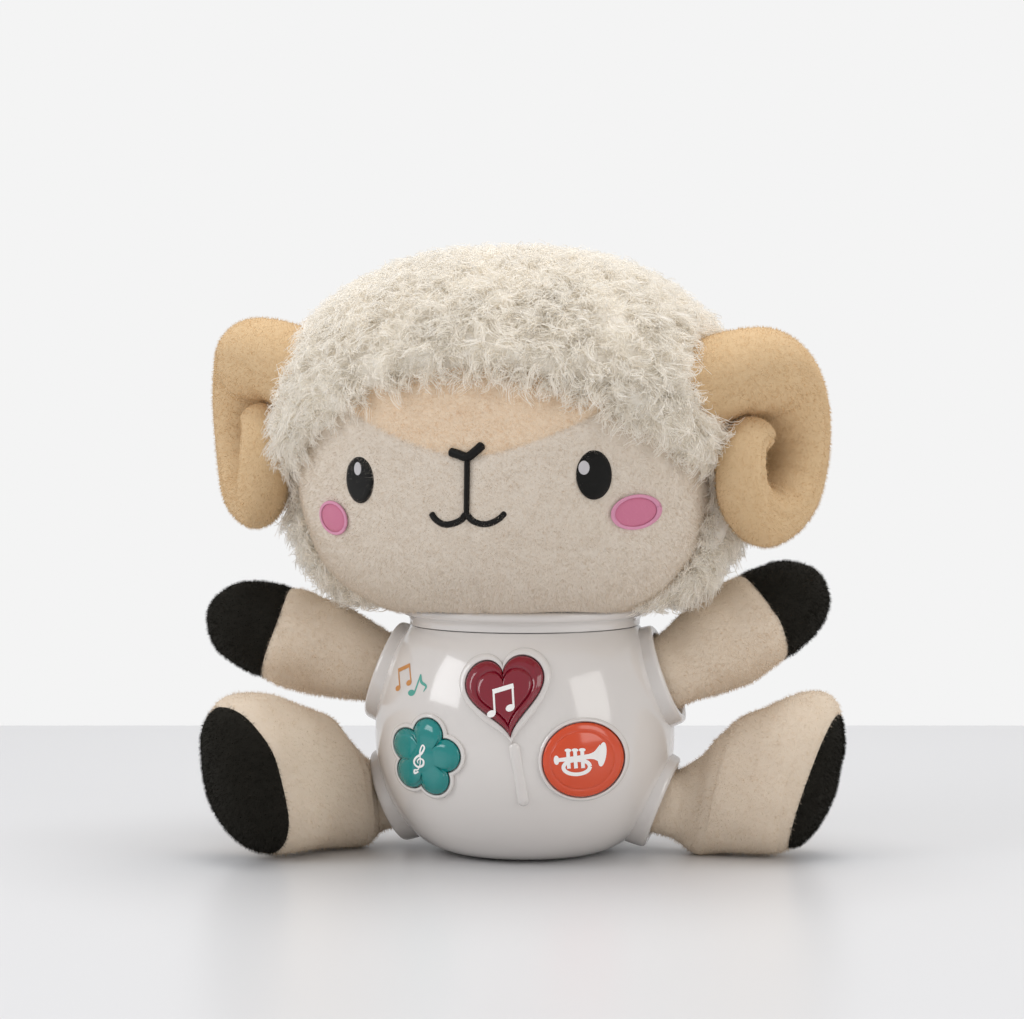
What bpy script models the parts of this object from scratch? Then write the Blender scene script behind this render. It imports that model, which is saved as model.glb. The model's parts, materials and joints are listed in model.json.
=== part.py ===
"""Stuffed sheep whose body is a hard moulded sound box with three push buttons.

Metres, +Z up. The origin is the centre of the flat base, and the toy faces -Y.
"""
import math

import bmesh
import bpy
from mathutils import Matrix, Vector

# Gaps between pieces
TOUCH_GAP = 0.0003
RUNNING_GAP = 0.0004
OVERRUN = 0.02

# Hard bowl
BOWL_RADIUS = 0.054
BOWL_EQUATOR = 0.042
BASE_RADIUS = 0.0235
SHOULDER_HEIGHT = 0.0815
SHOULDER_RADIUS = 0.041
SHOULDER_CURVE_CENTRE = 0.028
SHELL_WALL = 0.0022
FOOT_RECESS = 0.0015
FOOT_INNER_RADIUS = 0.0185

# Limb sockets in the bowl
ARM_SOCKET_OUT = 0.0523
ARM_SOCKET_BELOW_RIM = 0.0168
ARM_SOCKET_HEIGHT = SHOULDER_HEIGHT - ARM_SOCKET_BELOW_RIM
ARM_SOCKET_TILT = math.radians(20)
ARM_MOUTH_RADIUS = 0.015
LEG_SOCKET_OUT = 0.0503
LEG_SOCKET_HEIGHT = 0.0178
LEG_SOCKET_TILT = math.radians(-22)
LEG_MOUTH_RADIUS = 0.0140
SOCKET_WALL = 0.0034
SOCKET_LIP = 0.0022
SOCKET_GROOVE = 0.0026
SOCKET_GROOVE_DEPTH = 0.0018
SOCKET_LENGTH = 0.020
SOCKET_EDGE = 0.0010
SOCKET_FLARE = 0.0014

# Head
HEAD_TURN = math.radians(-4.5)
HEAD_SIDE = -0.0031
HEAD_FORWARD = -0.0083
HEAD_HEIGHT = 0.147
FACE_HALF_WIDTH = 0.076
FACE_HALF_DEPTH = 0.060
FACE_TALL_ABOVE = 0.063
FACE_TALL_BELOW = 0.0638
FLEECE_HALF_WIDTH = 0.0868
FLEECE_HALF_DEPTH = 0.0655
FLEECE_TALL_ABOVE = 0.0685
FLEECE_TALL_BELOW = 0.0650
PLUSH_SKIN = 0.0022

TURN = 2 * math.pi
# Where the middle ring of a domed plate lies, as a share of its outline
INNER_RING_SHARE = 0.6


def clear_scene():
    for item in list(bpy.data.objects):
        bpy.data.objects.remove(item, do_unlink=True)


def finish(name, colour, roughness, metallic=0.0):
    """A material of its own for one sub-part."""
    material = bpy.data.materials.new(name)
    material.use_nodes = True
    shader = material.node_tree.nodes["Principled BSDF"]
    shader.inputs["Base Color"].default_value = (*colour, 1.0)
    shader.inputs["Roughness"].default_value = roughness
    shader.inputs["Metallic"].default_value = metallic
    material.diffuse_color = (*colour, 1.0)
    return material


def skin(rings, closed=False):
    """A mesh over rings of points: a ring of one point is a pole, an open end is capped."""
    shape = bmesh.new()
    rows = [[shape.verts.new(point) for point in ring] for ring in rings]
    pairs = list(zip(rows, rows[1:]))
    if closed:
        pairs.append((rows[-1], rows[0]))
    for low, high in pairs:
        count = max(len(low), len(high))
        for i in range(count):
            j = (i + 1) % count
            corners = []
            for vert in (low[i % len(low)], low[j % len(low)], high[j % len(high)], high[i % len(high)]):
                if vert not in corners:
                    corners.append(vert)
            shape.faces.new(corners)
    if not closed:
        for row in (rows[0], rows[-1]):
            if len(row) > 1:
                shape.faces.new(row)
    bmesh.ops.recalc_face_normals(shape, faces=shape.faces)
    mesh = bpy.data.meshes.new("shape")
    shape.to_mesh(mesh)
    shape.free()
    return mesh


def split_quads(mesh):
    """Cut every face into triangles, so that two grown copies keep the same folds."""
    shape = bmesh.new()
    shape.from_mesh(mesh)
    bmesh.ops.triangulate(shape, faces=shape.faces, quad_method="FIXED", ngon_method="EAR_CLIP")
    shape.to_mesh(mesh)
    shape.free()
    return mesh


def lathe(profile, sides, closed=False):
    """Turn a profile of (radius, height) about Z."""
    rings = []
    for radius, height in profile:
        if radius == 0:
            rings.append([Vector((0, 0, height))])
            continue
        turns = [TURN * i / sides for i in range(sides)]
        rings.append([Vector((radius * math.cos(a), radius * math.sin(a), height)) for a in turns])
    return skin(rings, closed)


def rod(radius, low, high, sides=16):
    return lathe([(radius, low), (radius, high)], sides)


def box(low, high):
    """A rectangular block between two corners."""
    ring = [(low[0], low[1]), (high[0], low[1]), (high[0], high[1]), (low[0], high[1])]
    return skin([[Vector((x, y, z)) for x, y in ring] for z in (low[2], high[2])])


def along(origin, direction):
    """A frame whose Z runs along a direction from an origin."""
    turn = Vector(direction).to_track_quat("Z", "Y")
    return Matrix.Translation(Vector(origin)) @ turn.to_matrix().to_4x4()


def moved(mesh, frame):
    """Place a mesh, and turn its faces out again where the frame mirrors it."""
    mesh.transform(frame)
    if frame.determinant() < 0:
        mesh.flip_normals()
    return mesh


def merged(*meshes):
    """Several closed shapes in one mesh."""
    shape = bmesh.new()
    for mesh in meshes:
        shape.from_mesh(mesh)
    whole = bpy.data.meshes.new("shape")
    shape.to_mesh(whole)
    shape.free()
    return whole


def piece(name, mesh, material, parent=None, smooth=math.radians(40)):
    """A named sub-part."""
    mesh.name = name
    item = bpy.data.objects.new(name, mesh)
    bpy.context.scene.collection.objects.link(item)
    mesh.materials.append(material)
    if smooth:
        mesh.shade_smooth()
        mesh.set_sharp_from_angle(angle=smooth)
    if parent:
        item.parent = parent
        item.matrix_parent_inverse = parent.matrix_basis.inverted()
    return item


def cutter(name, mesh, parent=None):
    """A guide shape that the build leaves out."""
    item = bpy.data.objects.new(name, mesh)
    bpy.context.scene.collection.objects.link(item)
    item.hide_render = True
    item.display_type = "WIRE"
    if parent:
        item.parent = parent
        item.matrix_parent_inverse = parent.matrix_basis.inverted()
    return item


def combine(item, operation, *others):
    """Boolean an object with guide shapes: DIFFERENCE, UNION or INTERSECT.

    The shells, the battery door and the hood have many thin cuts, which the exact solver leaves open
    or drops, so they take the manifold one.
    """
    for other in others:
        step = item.modifiers.new(f"{operation.lower()} {other.name}", "BOOLEAN")
        step.operation = operation
        step.object = other
        step.solver = "MANIFOLD" if item.name.endswith(("_shell", "_door", "_hood", "_embroidery")) else "EXACT"
    return item


def axis_empty(name, place, turn=0.0):
    """The point that a moving piece turns or slides on."""
    item = bpy.data.objects.new(name, None)
    bpy.context.scene.collection.objects.link(item)
    item.matrix_basis = Matrix.Translation(Vector(place)) @ Matrix.Rotation(turn, 4, "Z")
    return item


# Bowl surface

SHOULDER_SHARE = (SHOULDER_RADIUS - SHOULDER_CURVE_CENTRE) / (BOWL_RADIUS - SHOULDER_CURVE_CENTRE)
SHOULDER_REACH = (SHOULDER_HEIGHT - BOWL_EQUATOR) / math.sqrt(1 - SHOULDER_SHARE ** 2)
LOWER_STEPS = 5
UPPER_STEPS = 4
BOWL_SIDES = 28


def bowl_curve(grow=0.0):
    """The bowl's profile from base to shoulder, set outwards by grow along its normal."""
    points = []
    end = math.acos(SHOULDER_SHARE)
    for i in range(LOWER_STEPS + UPPER_STEPS + 1):
        if i <= LOWER_STEPS:
            turn = -math.pi / 2 * (1 - i / LOWER_STEPS)
            centre, wide, tall = BASE_RADIUS, BOWL_RADIUS - BASE_RADIUS, BOWL_EQUATOR
        else:
            turn = end * (i - LOWER_STEPS) / UPPER_STEPS
            centre, wide, tall = SHOULDER_CURVE_CENTRE, BOWL_RADIUS - SHOULDER_CURVE_CENTRE, SHOULDER_REACH
        normal = Vector((math.cos(turn) / wide, math.sin(turn) / tall)).normalized()
        radius = centre + wide * math.cos(turn) + grow * normal.x
        height = BOWL_EQUATOR + tall * math.sin(turn) + grow * normal.y
        points.append((radius, height))
    return points


def bowl_radius(height, grow=0.0):
    """Radius of the bowl at a height, set outwards by grow along its normal."""
    if height < BOWL_EQUATOR:
        centre, wide, tall = BASE_RADIUS, BOWL_RADIUS - BASE_RADIUS, BOWL_EQUATOR
    else:
        centre, wide, tall = SHOULDER_CURVE_CENTRE, BOWL_RADIUS - SHOULDER_CURVE_CENTRE, SHOULDER_REACH
    share = (height - BOWL_EQUATOR) / tall
    flank = math.sqrt(max(1 - share ** 2, 0.01))
    slope = wide * share / (tall * flank)
    return centre + wide * flank + grow * math.hypot(1, slope)


def on_bowl(x, z, grow, side=-1):
    """A point on the bowl's front (side -1) or back (side 1), grow outside its surface."""
    radius = bowl_radius(z, grow)
    return Vector((x, side * math.sqrt(radius ** 2 - x ** 2), z))


def slab(outline, centre, layers, side=-1):
    """A prism along Y over an outline. A layer is (share, grow, depth, flat): depth counts from the
    bowl's surface, and flat is a plain Y instead."""
    rings = []
    for share, grow, depth, flat in layers:
        ring = [(0.0, 0.0)] if share == 0 else outline(grow)
        points = []
        for x, z in ring:
            x, z = centre[0] + share * x, centre[1] + share * z
            points.append(Vector((x, flat, z)) if depth is None else on_bowl(x, z, depth, side))
        rings.append(points)
    return skin(rings)


def prism(outline, centre, grow, near, far):
    """A straight prism along Y between two planes."""
    return slab(outline, centre, [(1, grow, None, near), (1, grow, None, far)])


def bowl_solid(grow, floor):
    """The bowl as a solid: its curve set outwards by grow, above a floor."""
    curve = [point for point in bowl_curve(grow) if point[1] > floor + TOUCH_GAP]
    low = bowl_radius(floor, grow) if floor > 0 else curve[0][0]
    top = SHOULDER_HEIGHT + OVERRUN
    rise = curve[-1]
    return lathe([(0, floor), (low, floor)] + curve + [(rise[0], top), (0, top)], BOWL_SIDES)


def shell_outside():
    """The bowl's outside, with a ring foot round a recessed floor."""
    curve = bowl_curve()
    profile = [(0, FOOT_RECESS), (FOOT_INNER_RADIUS, FOOT_RECESS), (FOOT_INNER_RADIUS, 0)]
    return lathe(profile + curve + [(0, SHOULDER_HEIGHT)], BOWL_SIDES)


# Limb sockets: a round boss, its mouth, and the groove that holds a clamp ring

SOCKET_SIDES = 16


def socket_frame(out, height, tilt, side):
    return along((side * out, 0, height), (side * math.cos(tilt), 0, math.sin(tilt)))


def socket_boss(mouth):
    face = mouth + SOCKET_WALL
    rim = face - SOCKET_EDGE
    profile = [(0, -SOCKET_LENGTH), (face + SOCKET_FLARE, -SOCKET_LENGTH), (face, -SOCKET_EDGE), (rim, 0), (0, 0)]
    return lathe(profile, SOCKET_SIDES)


def socket_bore(mouth):
    groove = mouth + SOCKET_GROOVE_DEPTH
    low, high = -SOCKET_LIP - SOCKET_GROOVE, -SOCKET_LIP
    profile = [(0, -SOCKET_LENGTH - OVERRUN), (mouth, -SOCKET_LENGTH - OVERRUN), (mouth, low)]
    profile += [(groove, low), (groove, high), (mouth, high), (mouth, OVERRUN), (0, OVERRUN)]
    return lathe(profile, SOCKET_SIDES)


SOCKETS = {
    "arm_right": (ARM_SOCKET_OUT, ARM_SOCKET_HEIGHT, ARM_SOCKET_TILT, 1, ARM_MOUTH_RADIUS),
    "arm_left": (ARM_SOCKET_OUT, ARM_SOCKET_HEIGHT, ARM_SOCKET_TILT, -1, ARM_MOUTH_RADIUS),
    "leg_right": (LEG_SOCKET_OUT, LEG_SOCKET_HEIGHT, LEG_SOCKET_TILT, 1, LEG_MOUTH_RADIUS),
    "leg_left": (LEG_SOCKET_OUT, LEG_SOCKET_HEIGHT, LEG_SOCKET_TILT, -1, LEG_MOUTH_RADIUS),
}

# Push buttons, pressed straight in along Y

BUTTON_TRAVEL = 0.0015
BUTTON_CLEARANCE = 0.0004
BUTTON_PROUD = 0.0019
BUTTON_CROWN = 0.0009
BUTTON_EDGE = 0.0007
BUTTON_FLANGE = 0.0011
FLANGE_THICK = 0.0012
FLANGE_GAP = 0.0009
BEZEL_PROUD = 0.0012
BEZEL_EDGE = 0.0006
BOARD_FRONT = -0.024
BOARD_THICK = 0.0016
SWITCH_SIZE = 0.006
SWITCH_DEEP = 0.0035
PLUNGER_RADIUS = 0.0017
PLUNGER_LONG = 0.0014
POST_SHARE = 0.2

HEART_WIDE = 0.0268
HEART_TALL = 0.0265
HEART_TILT = math.radians(9)
HEART_PLACE = (0.0018, 0.0604)
HEART_BORDER = 0.0028
HEART_POINTS = 24
HEART_WAVE_SHARES = (12.5, -4.2, -1.6, -0.9)
FLOWER_PETAL = 0.0056
FLOWER_REACH = 0.0080
FLOWER_PETALS = 5
FLOWER_TURN = math.radians(81)
FLOWER_PLACE = (-0.0276, 0.0387)
FLOWER_BORDER = 0.0019
FLOWER_POINTS = 30
ROUND_RADIUS = 0.0129
ROUND_PLACE = (0.0277, 0.0389)
ROUND_BORDER = 0.0017
ROUND_POINTS = 18
STICK_LONG = 0.0223
STICK_WIDE = 0.0038
STICK_PROUD = 0.0013
STICK_PLACE = (0.0065, 0.0342)
STICK_TILT = math.radians(8)
STICK_POINTS = 8


def heart(grow=0.0):
    """A plump heart, its top leaning a little to -X."""
    points = []
    waves = HEART_WAVE_SHARES
    heights = [sum(w * math.cos((k + 1) * TURN * i / HEART_POINTS) for k, w in enumerate(waves))
               for i in range(HEART_POINTS)]
    middle = (max(heights) + min(heights)) / 2
    span = max(heights) - min(heights)
    for i in range(HEART_POINTS):
        point = Vector((HEART_WIDE / 2 * math.sin(TURN * i / HEART_POINTS) ** 3,
                        HEART_TALL * (heights[i] - middle) / span))
        point += grow * point.normalized()
        points.append((point.x * math.cos(HEART_TILT) - point.y * math.sin(HEART_TILT),
                       point.x * math.sin(HEART_TILT) + point.y * math.cos(HEART_TILT)))
    return points


def flower(grow=0.0):
    """Five round petals."""
    points = []
    sector = TURN / FLOWER_PETALS
    for i in range(FLOWER_POINTS):
        turn = TURN * i / FLOWER_POINTS
        off = (turn + sector / 2) % sector - sector / 2
        petal = FLOWER_PETAL + grow
        radius = FLOWER_REACH * math.cos(off) + math.sqrt(petal ** 2 - (FLOWER_REACH * math.sin(off)) ** 2)
        points.append((radius * math.cos(turn + FLOWER_TURN), radius * math.sin(turn + FLOWER_TURN)))
    return points


def disc(grow=0.0):
    turns = [TURN * i / ROUND_POINTS for i in range(ROUND_POINTS)]
    return [((ROUND_RADIUS + grow) * math.cos(a), (ROUND_RADIUS + grow) * math.sin(a)) for a in turns]


def stick(grow=0.0):
    """The raised stick under the heart: a slot shape, leaning like the heart."""
    points = []
    for i in range(STICK_POINTS):
        turn = TURN * (i + 0.5) / STICK_POINTS
        radius = STICK_WIDE / 2 + grow
        reach = (STICK_LONG - STICK_WIDE) / 2
        x = radius * math.cos(turn)
        z = radius * math.sin(turn) + math.copysign(reach, math.sin(turn))
        points.append((x * math.cos(STICK_TILT) - z * math.sin(STICK_TILT),
                       x * math.sin(STICK_TILT) + z * math.cos(STICK_TILT)))
    return points


BUTTONS = {
    "heart_button": (heart, HEART_PLACE, HEART_BORDER, (0.16, 0.008, 0.025)),
    "flower_button": (flower, FLOWER_PLACE, FLOWER_BORDER, (0.013, 0.31, 0.24)),
    "round_button": (disc, ROUND_PLACE, ROUND_BORDER, (0.75, 0.11, 0.02)),
}
POST_END = BOARD_FRONT - TOUCH_GAP - SWITCH_DEEP - PLUNGER_LONG - BUTTON_TRAVEL - TOUCH_GAP


def make_buttons():
    for name, (outline, place, _border, colour) in BUTTONS.items():
        front = -SHELL_WALL - FLANGE_GAP
        back = front - FLANGE_THICK
        layers = [
            (0, 0, BUTTON_PROUD + BUTTON_CROWN, None),
            (INNER_RING_SHARE, 0, BUTTON_PROUD + BUTTON_CROWN / 2, None),
            (1, -BUTTON_EDGE, BUTTON_PROUD, None),
            (1, 0, BUTTON_PROUD - BUTTON_EDGE, None),
            (1, 0, front, None),
            (1, BUTTON_FLANGE, front, None),
            (1, BUTTON_FLANGE, back, None),
            (POST_SHARE, 0, back, None),
            (POST_SHARE, 0, None, POST_END),
        ]
        middle = (place[0], (on_bowl(*place, 0)).y, place[1])
        axis = axis_empty(name + "_axis", middle)
        piece(name, slab(outline, place, layers), finish(name, colour, 0.2), axis)


# Screw posts and the split of the shells

PARTING_GAP = 0.00015
SHELL_POST_RADIUS = 0.0042
SHELL_POST_PLACES = {"side": (0.0462, 0.0405), "low": (0.0240, 0.0145)}
SCREW_SHAFT = 0.0013
SCREW_HEAD = 0.0027
SCREW_HEAD_TALL = 0.0020
SCREW_LONG = 0.014
SCREW_SEAT = 0.009
SCREW_CLEARANCE = 0.0003
BOARD_POST_RADIUS = 0.0026
BOARD_POST_PLACES = [(-0.025, 0.0655), (0.025, 0.0655), (0.0, 0.0285)]
BOARD_SCREW_SHAFT = 0.0008
BOARD_SCREW_HEAD = 0.0018
BOARD_SCREW_TALL = 0.0012
BOARD_SCREW_LONG = 0.006


def across(radius, place, near, far, sides=8):
    """A round rod along Y at a place in X and Z."""
    return moved(rod(radius, near, far, sides), along((place[0], 0, place[1]), (0, 1, 0)))


def post_places():
    return [(side * x, z) for x, z in SHELL_POST_PLACES.values() for side in (-1, 1)]


def posts(name, radius, places, near, far):
    """Screw posts, trimmed so that they end inside the bowl's wall."""
    shape = cutter(name, merged(*[across(radius, place, near, far) for place in places]))
    inside = cutter(name + "_trim", bowl_solid(-SHELL_WALL / 2, FOOT_RECESS + SHELL_WALL / 2))
    return combine(shape, "INTERSECT", inside)


def shell_blank(name, side):
    """One half of the bowl with its sockets; side -1 is the front."""
    shell = piece(name, shell_outside(), finish(name, (0.80, 0.79, 0.77), 0.15))
    for key, (out, height, tilt, hand, mouth) in SOCKETS.items():
        boss = moved(socket_boss(mouth), socket_frame(out, height, tilt, hand))
        combine(shell, "UNION", cutter(f"{name}_{key}_boss", boss))
    combine(shell, "DIFFERENCE", cutter(name + "_hollow", bowl_solid(-SHELL_WALL, FOOT_RECESS + SHELL_WALL)))
    for key, (out, height, tilt, hand, mouth) in SOCKETS.items():
        bore = moved(socket_bore(mouth), socket_frame(out, height, tilt, hand))
        combine(shell, "DIFFERENCE", cutter(f"{name}_{key}_bore", bore))
    spigot = rod(SPIGOT_RADIUS + RUNNING_GAP, SPIGOT_LOW - TOUCH_GAP, SHOULDER_HEIGHT + OVERRUN, BOWL_SIDES)
    combine(shell, "DIFFERENCE", cutter(name + "_neck_hole", spigot))
    wide = BOWL_RADIUS + OVERRUN
    reach = sorted((side * PARTING_GAP, side * wide))
    half = box((-wide, reach[0], -OVERRUN), (wide, reach[1], SHOULDER_HEIGHT + OVERRUN))
    return combine(shell, "INTERSECT", cutter(name + "_half", half))


# Neck ring and the plug that the head turns on

SPIGOT_RADIUS = bowl_curve(-SHELL_WALL)[-1][0] - RUNNING_GAP
SPIGOT_WALL = 0.0024
SPIGOT_LOW = 0.0775
RING_RADIUS = 0.0452
RING_TOP = 0.0892
RING_LIP = 0.0330
RING_LIP_THICK = 0.0028
RING_NECK = 0.0420
RING_ROUND = 0.0016
PLUG_FLANGE_THICK = 0.0026
PLUG_TOP = 0.0917
RING_SIDES = 28


def make_neck():
    bottom = SHOULDER_HEIGHT + TOUCH_GAP
    inner = SPIGOT_RADIUS - SPIGOT_WALL
    under = RING_TOP - RING_LIP_THICK
    middle = (bottom + RING_TOP) / 2
    profile = [(inner, SPIGOT_LOW), (SPIGOT_RADIUS, SPIGOT_LOW), (SPIGOT_RADIUS, bottom), (RING_NECK, bottom)]
    profile += [(RING_RADIUS - RING_ROUND / 2, middle - RING_ROUND), (RING_RADIUS, middle + RING_ROUND / 2)]
    profile += [(RING_RADIUS - RING_ROUND / 2, RING_TOP - RING_ROUND / 2), (RING_RADIUS - 2 * RING_ROUND, RING_TOP)]
    profile += [(RING_LIP, RING_TOP), (RING_LIP, under), (inner, under)]
    piece("neck_ring", lathe(profile, RING_SIDES, closed=True), finish("neck_ring", (0.82, 0.81, 0.79), 0.15))
    flange = inner - RUNNING_GAP
    waist = RING_LIP - RUNNING_GAP
    high = under - RUNNING_GAP
    low = high - PLUG_FLANGE_THICK
    spool = [(0, low), (flange, low), (flange, high), (waist, high), (waist, PLUG_TOP), (0, PLUG_TOP)]
    piece("neck_plug", lathe(spool, RING_SIDES), finish("neck_plug", (0.6, 0.6, 0.58), 0.4), HEAD_AXIS)


# Battery door, its compartment, and the power switch, all on the back

AAA_RADIUS = 0.00525
AAA_LONG = 0.0445
BATTERIES = 3
BATTERY_GAP = 0.0004
SPRING_ROOM = 0.0032
BOX_WALL = 0.0016
BOX_LOW = 0.0195
BOX_FRONT = 0.0235
DOOR_MARGIN = 0.0005
DOOR_CORNER = 0.003
DOOR_POINTS_PER_CORNER = 3
DOOR_EDGE_PARTS = 5
DOOR_LIP = 0.0014
HOLLOW_WIDE = AAA_LONG + 2 * SPRING_ROOM
HOLLOW_TALL = BATTERIES * (2 * AAA_RADIUS + BATTERY_GAP) + BATTERY_GAP
BOX_MIDDLE = BOX_LOW + BOX_WALL + HOLLOW_TALL / 2
DOOR_TONGUE = 0.0062
DOOR_SCREW_HEAD = 0.0024
DOOR_SCREW_SHAFT = 0.0012
DOOR_SCREW_SUNK = 0.0010
DOOR_SCREW_LONG = 0.0065
TAB_HALF = 0.006
TAB_DROP = 0.0022
TAB_RISE = 0.0028
TAB_THICK = 0.0012
TAB_GAP = 0.0010
TAB_NOTCH_DEEP = 0.008
BOX_TOP = BOX_LOW + BOX_WALL + HOLLOW_TALL + DOOR_TONGUE
SLIDER_ABOVE_BOX = 0.0076
SLIDER_HEIGHT = BOX_TOP + SLIDER_ABOVE_BOX
SLIDER_TRAVEL = 0.004
SLIDER_HALF = 0.0018
SLIDER_TALL = 0.0026
SLIDER_PROUD = 0.0016
SLIDER_BACK = 0.0008
SWITCH_HALF = 0.0052
SWITCH_EAR = 0.0088
SWITCH_EAR_THICK = 0.0010
SWITCH_EAR_TALL = 0.0046
SWITCH_FACE = 0.0436
SWITCH_THICK = 0.0046
EAR_POST_RADIUS = 0.0015
EAR_POST_OUT = 0.0071


def door_outline(grow=0.0):
    """A rounded rectangle as large as the battery hollow with the screw's tongue above it."""
    half = (HOLLOW_WIDE / 2 + grow, (HOLLOW_TALL + DOOR_TONGUE) / 2 + grow)
    radius = DOOR_CORNER + grow
    points = []
    for corner, (sx, sz) in enumerate([(1, 1), (-1, 1), (-1, -1), (1, -1)]):
        for i in range(DOOR_POINTS_PER_CORNER):
            turn = math.pi / 2 * (corner + i / (DOOR_POINTS_PER_CORNER - 1))
            x = sx * (half[0] - radius) + radius * math.cos(turn)
            z = sz * (half[1] - radius) + radius * math.sin(turn)
            points.append(Vector((x, z)))
    dense = []
    for start, end in zip(points, points[1:] + points[:1]):
        parts = DOOR_EDGE_PARTS if (end - start).length > 2 * radius else 1
        dense += [tuple(start.lerp(end, i / parts)) for i in range(parts)]
    return dense


DOOR_PLACE = (0.0, BOX_MIDDLE + DOOR_TONGUE / 2)
DOOR_LOW_EDGE = BOX_MIDDLE - HOLLOW_TALL / 2 - DOOR_LIP + DOOR_MARGIN
DOOR_SCREW_PLACE = (0.0, BOX_MIDDLE + HOLLOW_TALL / 2 + BOX_WALL + (DOOR_TONGUE - BOX_WALL) / 2)


def rectangle(half_x, low, high):
    """A plain outline between two heights, centred on X."""
    def outline(grow=0.0):
        x, z0, z1 = half_x + grow, low - grow, high + grow
        return [(x, z0), (x, z1), (-x, z1), (-x, z0)]
    return outline


def back_slab(outline, grow, outer, inner):
    """A slab that follows the bowl's back between two depths."""
    return slab(outline, (0.0, 0.0), [(1, grow, outer, None), (1, grow, inner, None)], side=1)


DOOR_RING_SHARE = 0.7


def make_battery_door():
    pivot = on_bowl(0, DOOR_LOW_EDGE, 0, side=1)
    axis = axis_empty("battery_door_axis", pivot)
    inner = -SHELL_WALL
    outside = [(0, 0, 0, None), (DOOR_RING_SHARE / 2, 0, 0, None), (DOOR_RING_SHARE, 0, 0, None), (1, DOOR_LIP - DOOR_MARGIN, 0, None)]
    layers = outside + [(share, grow, inner, None) for share, grow, _depth, _flat in reversed(outside)]
    door = piece("battery_door", slab(door_outline, DOOR_PLACE, layers, side=1),
                 finish("battery_door", (0.80, 0.79, 0.77), 0.2), axis)
    rise = DOOR_LOW_EDGE + TAB_RISE
    drop = DOOR_LOW_EDGE - TAB_DROP
    under = inner - TAB_GAP
    deep = under - TAB_THICK
    root = back_slab(rectangle(TAB_HALF, DOOR_LOW_EDGE + TOUCH_GAP, rise), 0, inner / 2, deep)
    tongue = back_slab(rectangle(TAB_HALF, drop, rise), 0, under, deep)
    combine(door, "UNION", cutter("door_tab_root", root), cutter("door_tab", tongue))
    seat = on_bowl(*DOOR_SCREW_PLACE, 0, side=1).y - DOOR_SCREW_SUNK
    hole = across(DOOR_SCREW_SHAFT + SCREW_CLEARANCE, DOOR_SCREW_PLACE, seat - OVERRUN, seat + OVERRUN)
    sink = across(DOOR_SCREW_HEAD + SCREW_CLEARANCE, DOOR_SCREW_PLACE, seat, seat + OVERRUN, 16)
    combine(door, "DIFFERENCE", cutter("door_screw_hole", hole), cutter("door_screw_sink", sink))
    head_low = seat + TOUCH_GAP
    tip = head_low - DOOR_SCREW_LONG
    screw = lathe([(0, tip), (DOOR_SCREW_SHAFT / 2, tip), (DOOR_SCREW_SHAFT, tip + DOOR_SCREW_SHAFT),
                   (DOOR_SCREW_SHAFT, head_low), (DOOR_SCREW_HEAD, head_low),
                   (DOOR_SCREW_HEAD, head_low + DOOR_SCREW_SUNK), (0, head_low + DOOR_SCREW_SUNK)], 14)
    screw = moved(screw, along((DOOR_SCREW_PLACE[0], 0, DOOR_SCREW_PLACE[1]), (0, 1, 0)))
    piece("door_screw", screw, finish("door_screw", (0.5, 0.5, 0.5), 0.3, 1.0), axis)


def make_battery_box():
    half = HOLLOW_WIDE / 2 + BOX_WALL
    far = BOWL_RADIUS + OVERRUN
    block = piece("battery_box", box((-half, BOX_FRONT, BOX_LOW), (half, far, BOX_TOP)),
                  finish("battery_box", (0.55, 0.55, 0.54), 0.4), smooth=0)
    room = bowl_solid(-SHELL_WALL - TOUCH_GAP, FOOT_RECESS + SHELL_WALL)
    combine(block, "INTERSECT", cutter("battery_box_room", room))
    low = BOX_LOW + BOX_WALL
    hollow = box((-HOLLOW_WIDE / 2, BOX_FRONT + BOX_WALL, low), (HOLLOW_WIDE / 2, far, low + HOLLOW_TALL))
    notch = back_slab(rectangle(TAB_HALF + RUNNING_GAP, DOOR_LOW_EDGE - OVERRUN / 2, low + BOX_WALL), 0,
                      SHELL_WALL, -TAB_NOTCH_DEEP)
    pilot = across(DOOR_SCREW_SHAFT + 2 * SCREW_CLEARANCE, DOOR_SCREW_PLACE, BOX_FRONT + BOX_WALL, far)
    combine(block, "DIFFERENCE", cutter("battery_hollow", hollow), cutter("battery_tab_notch", notch),
            cutter("battery_screw_pilot", pilot))


CELL_NUB = 0.0018
CELL_NUB_LONG = 0.0010
CELL_FRONT = BOX_FRONT + BOX_WALL + BATTERY_GAP
CONTACT_THICK = 0.0006
SPRING_RADIUS = 0.0030


def cell_places():
    pitch = 2 * AAA_RADIUS + BATTERY_GAP
    low = BOX_LOW + BOX_WALL + BATTERY_GAP + AAA_RADIUS
    return [(CELL_FRONT + AAA_RADIUS, low + i * pitch, 1 if i % 2 == 0 else -1) for i in range(BATTERIES)]


def make_batteries():
    end = HOLLOW_WIDE / 2
    body = AAA_LONG / 2
    for number, (y, z, hand) in enumerate(cell_places(), 1):
        profile = [(0, -body), (AAA_RADIUS, -body), (AAA_RADIUS, body - CELL_NUB_LONG),
                   (CELL_NUB, body - CELL_NUB_LONG), (CELL_NUB, body), (0, body)]
        frame = along((0, y, z), (hand, 0, 0))
        name = f"battery_{number}"
        piece(name, moved(lathe(profile, 14), frame), finish(name, (0.1, 0.1, 0.12), 0.3))
        wide, low, high = SPRING_RADIUS, -end + TOUCH_GAP, -body - TOUCH_GAP
        cone = lathe([(0, low), (wide, low), (wide, low + CONTACT_THICK), (wide / 2, high), (0, high)], 10)
        name = f"battery_spring_{number}"
        piece(name, moved(cone, frame), finish(name, (0.6, 0.6, 0.6), 0.3, 1.0))


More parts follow.
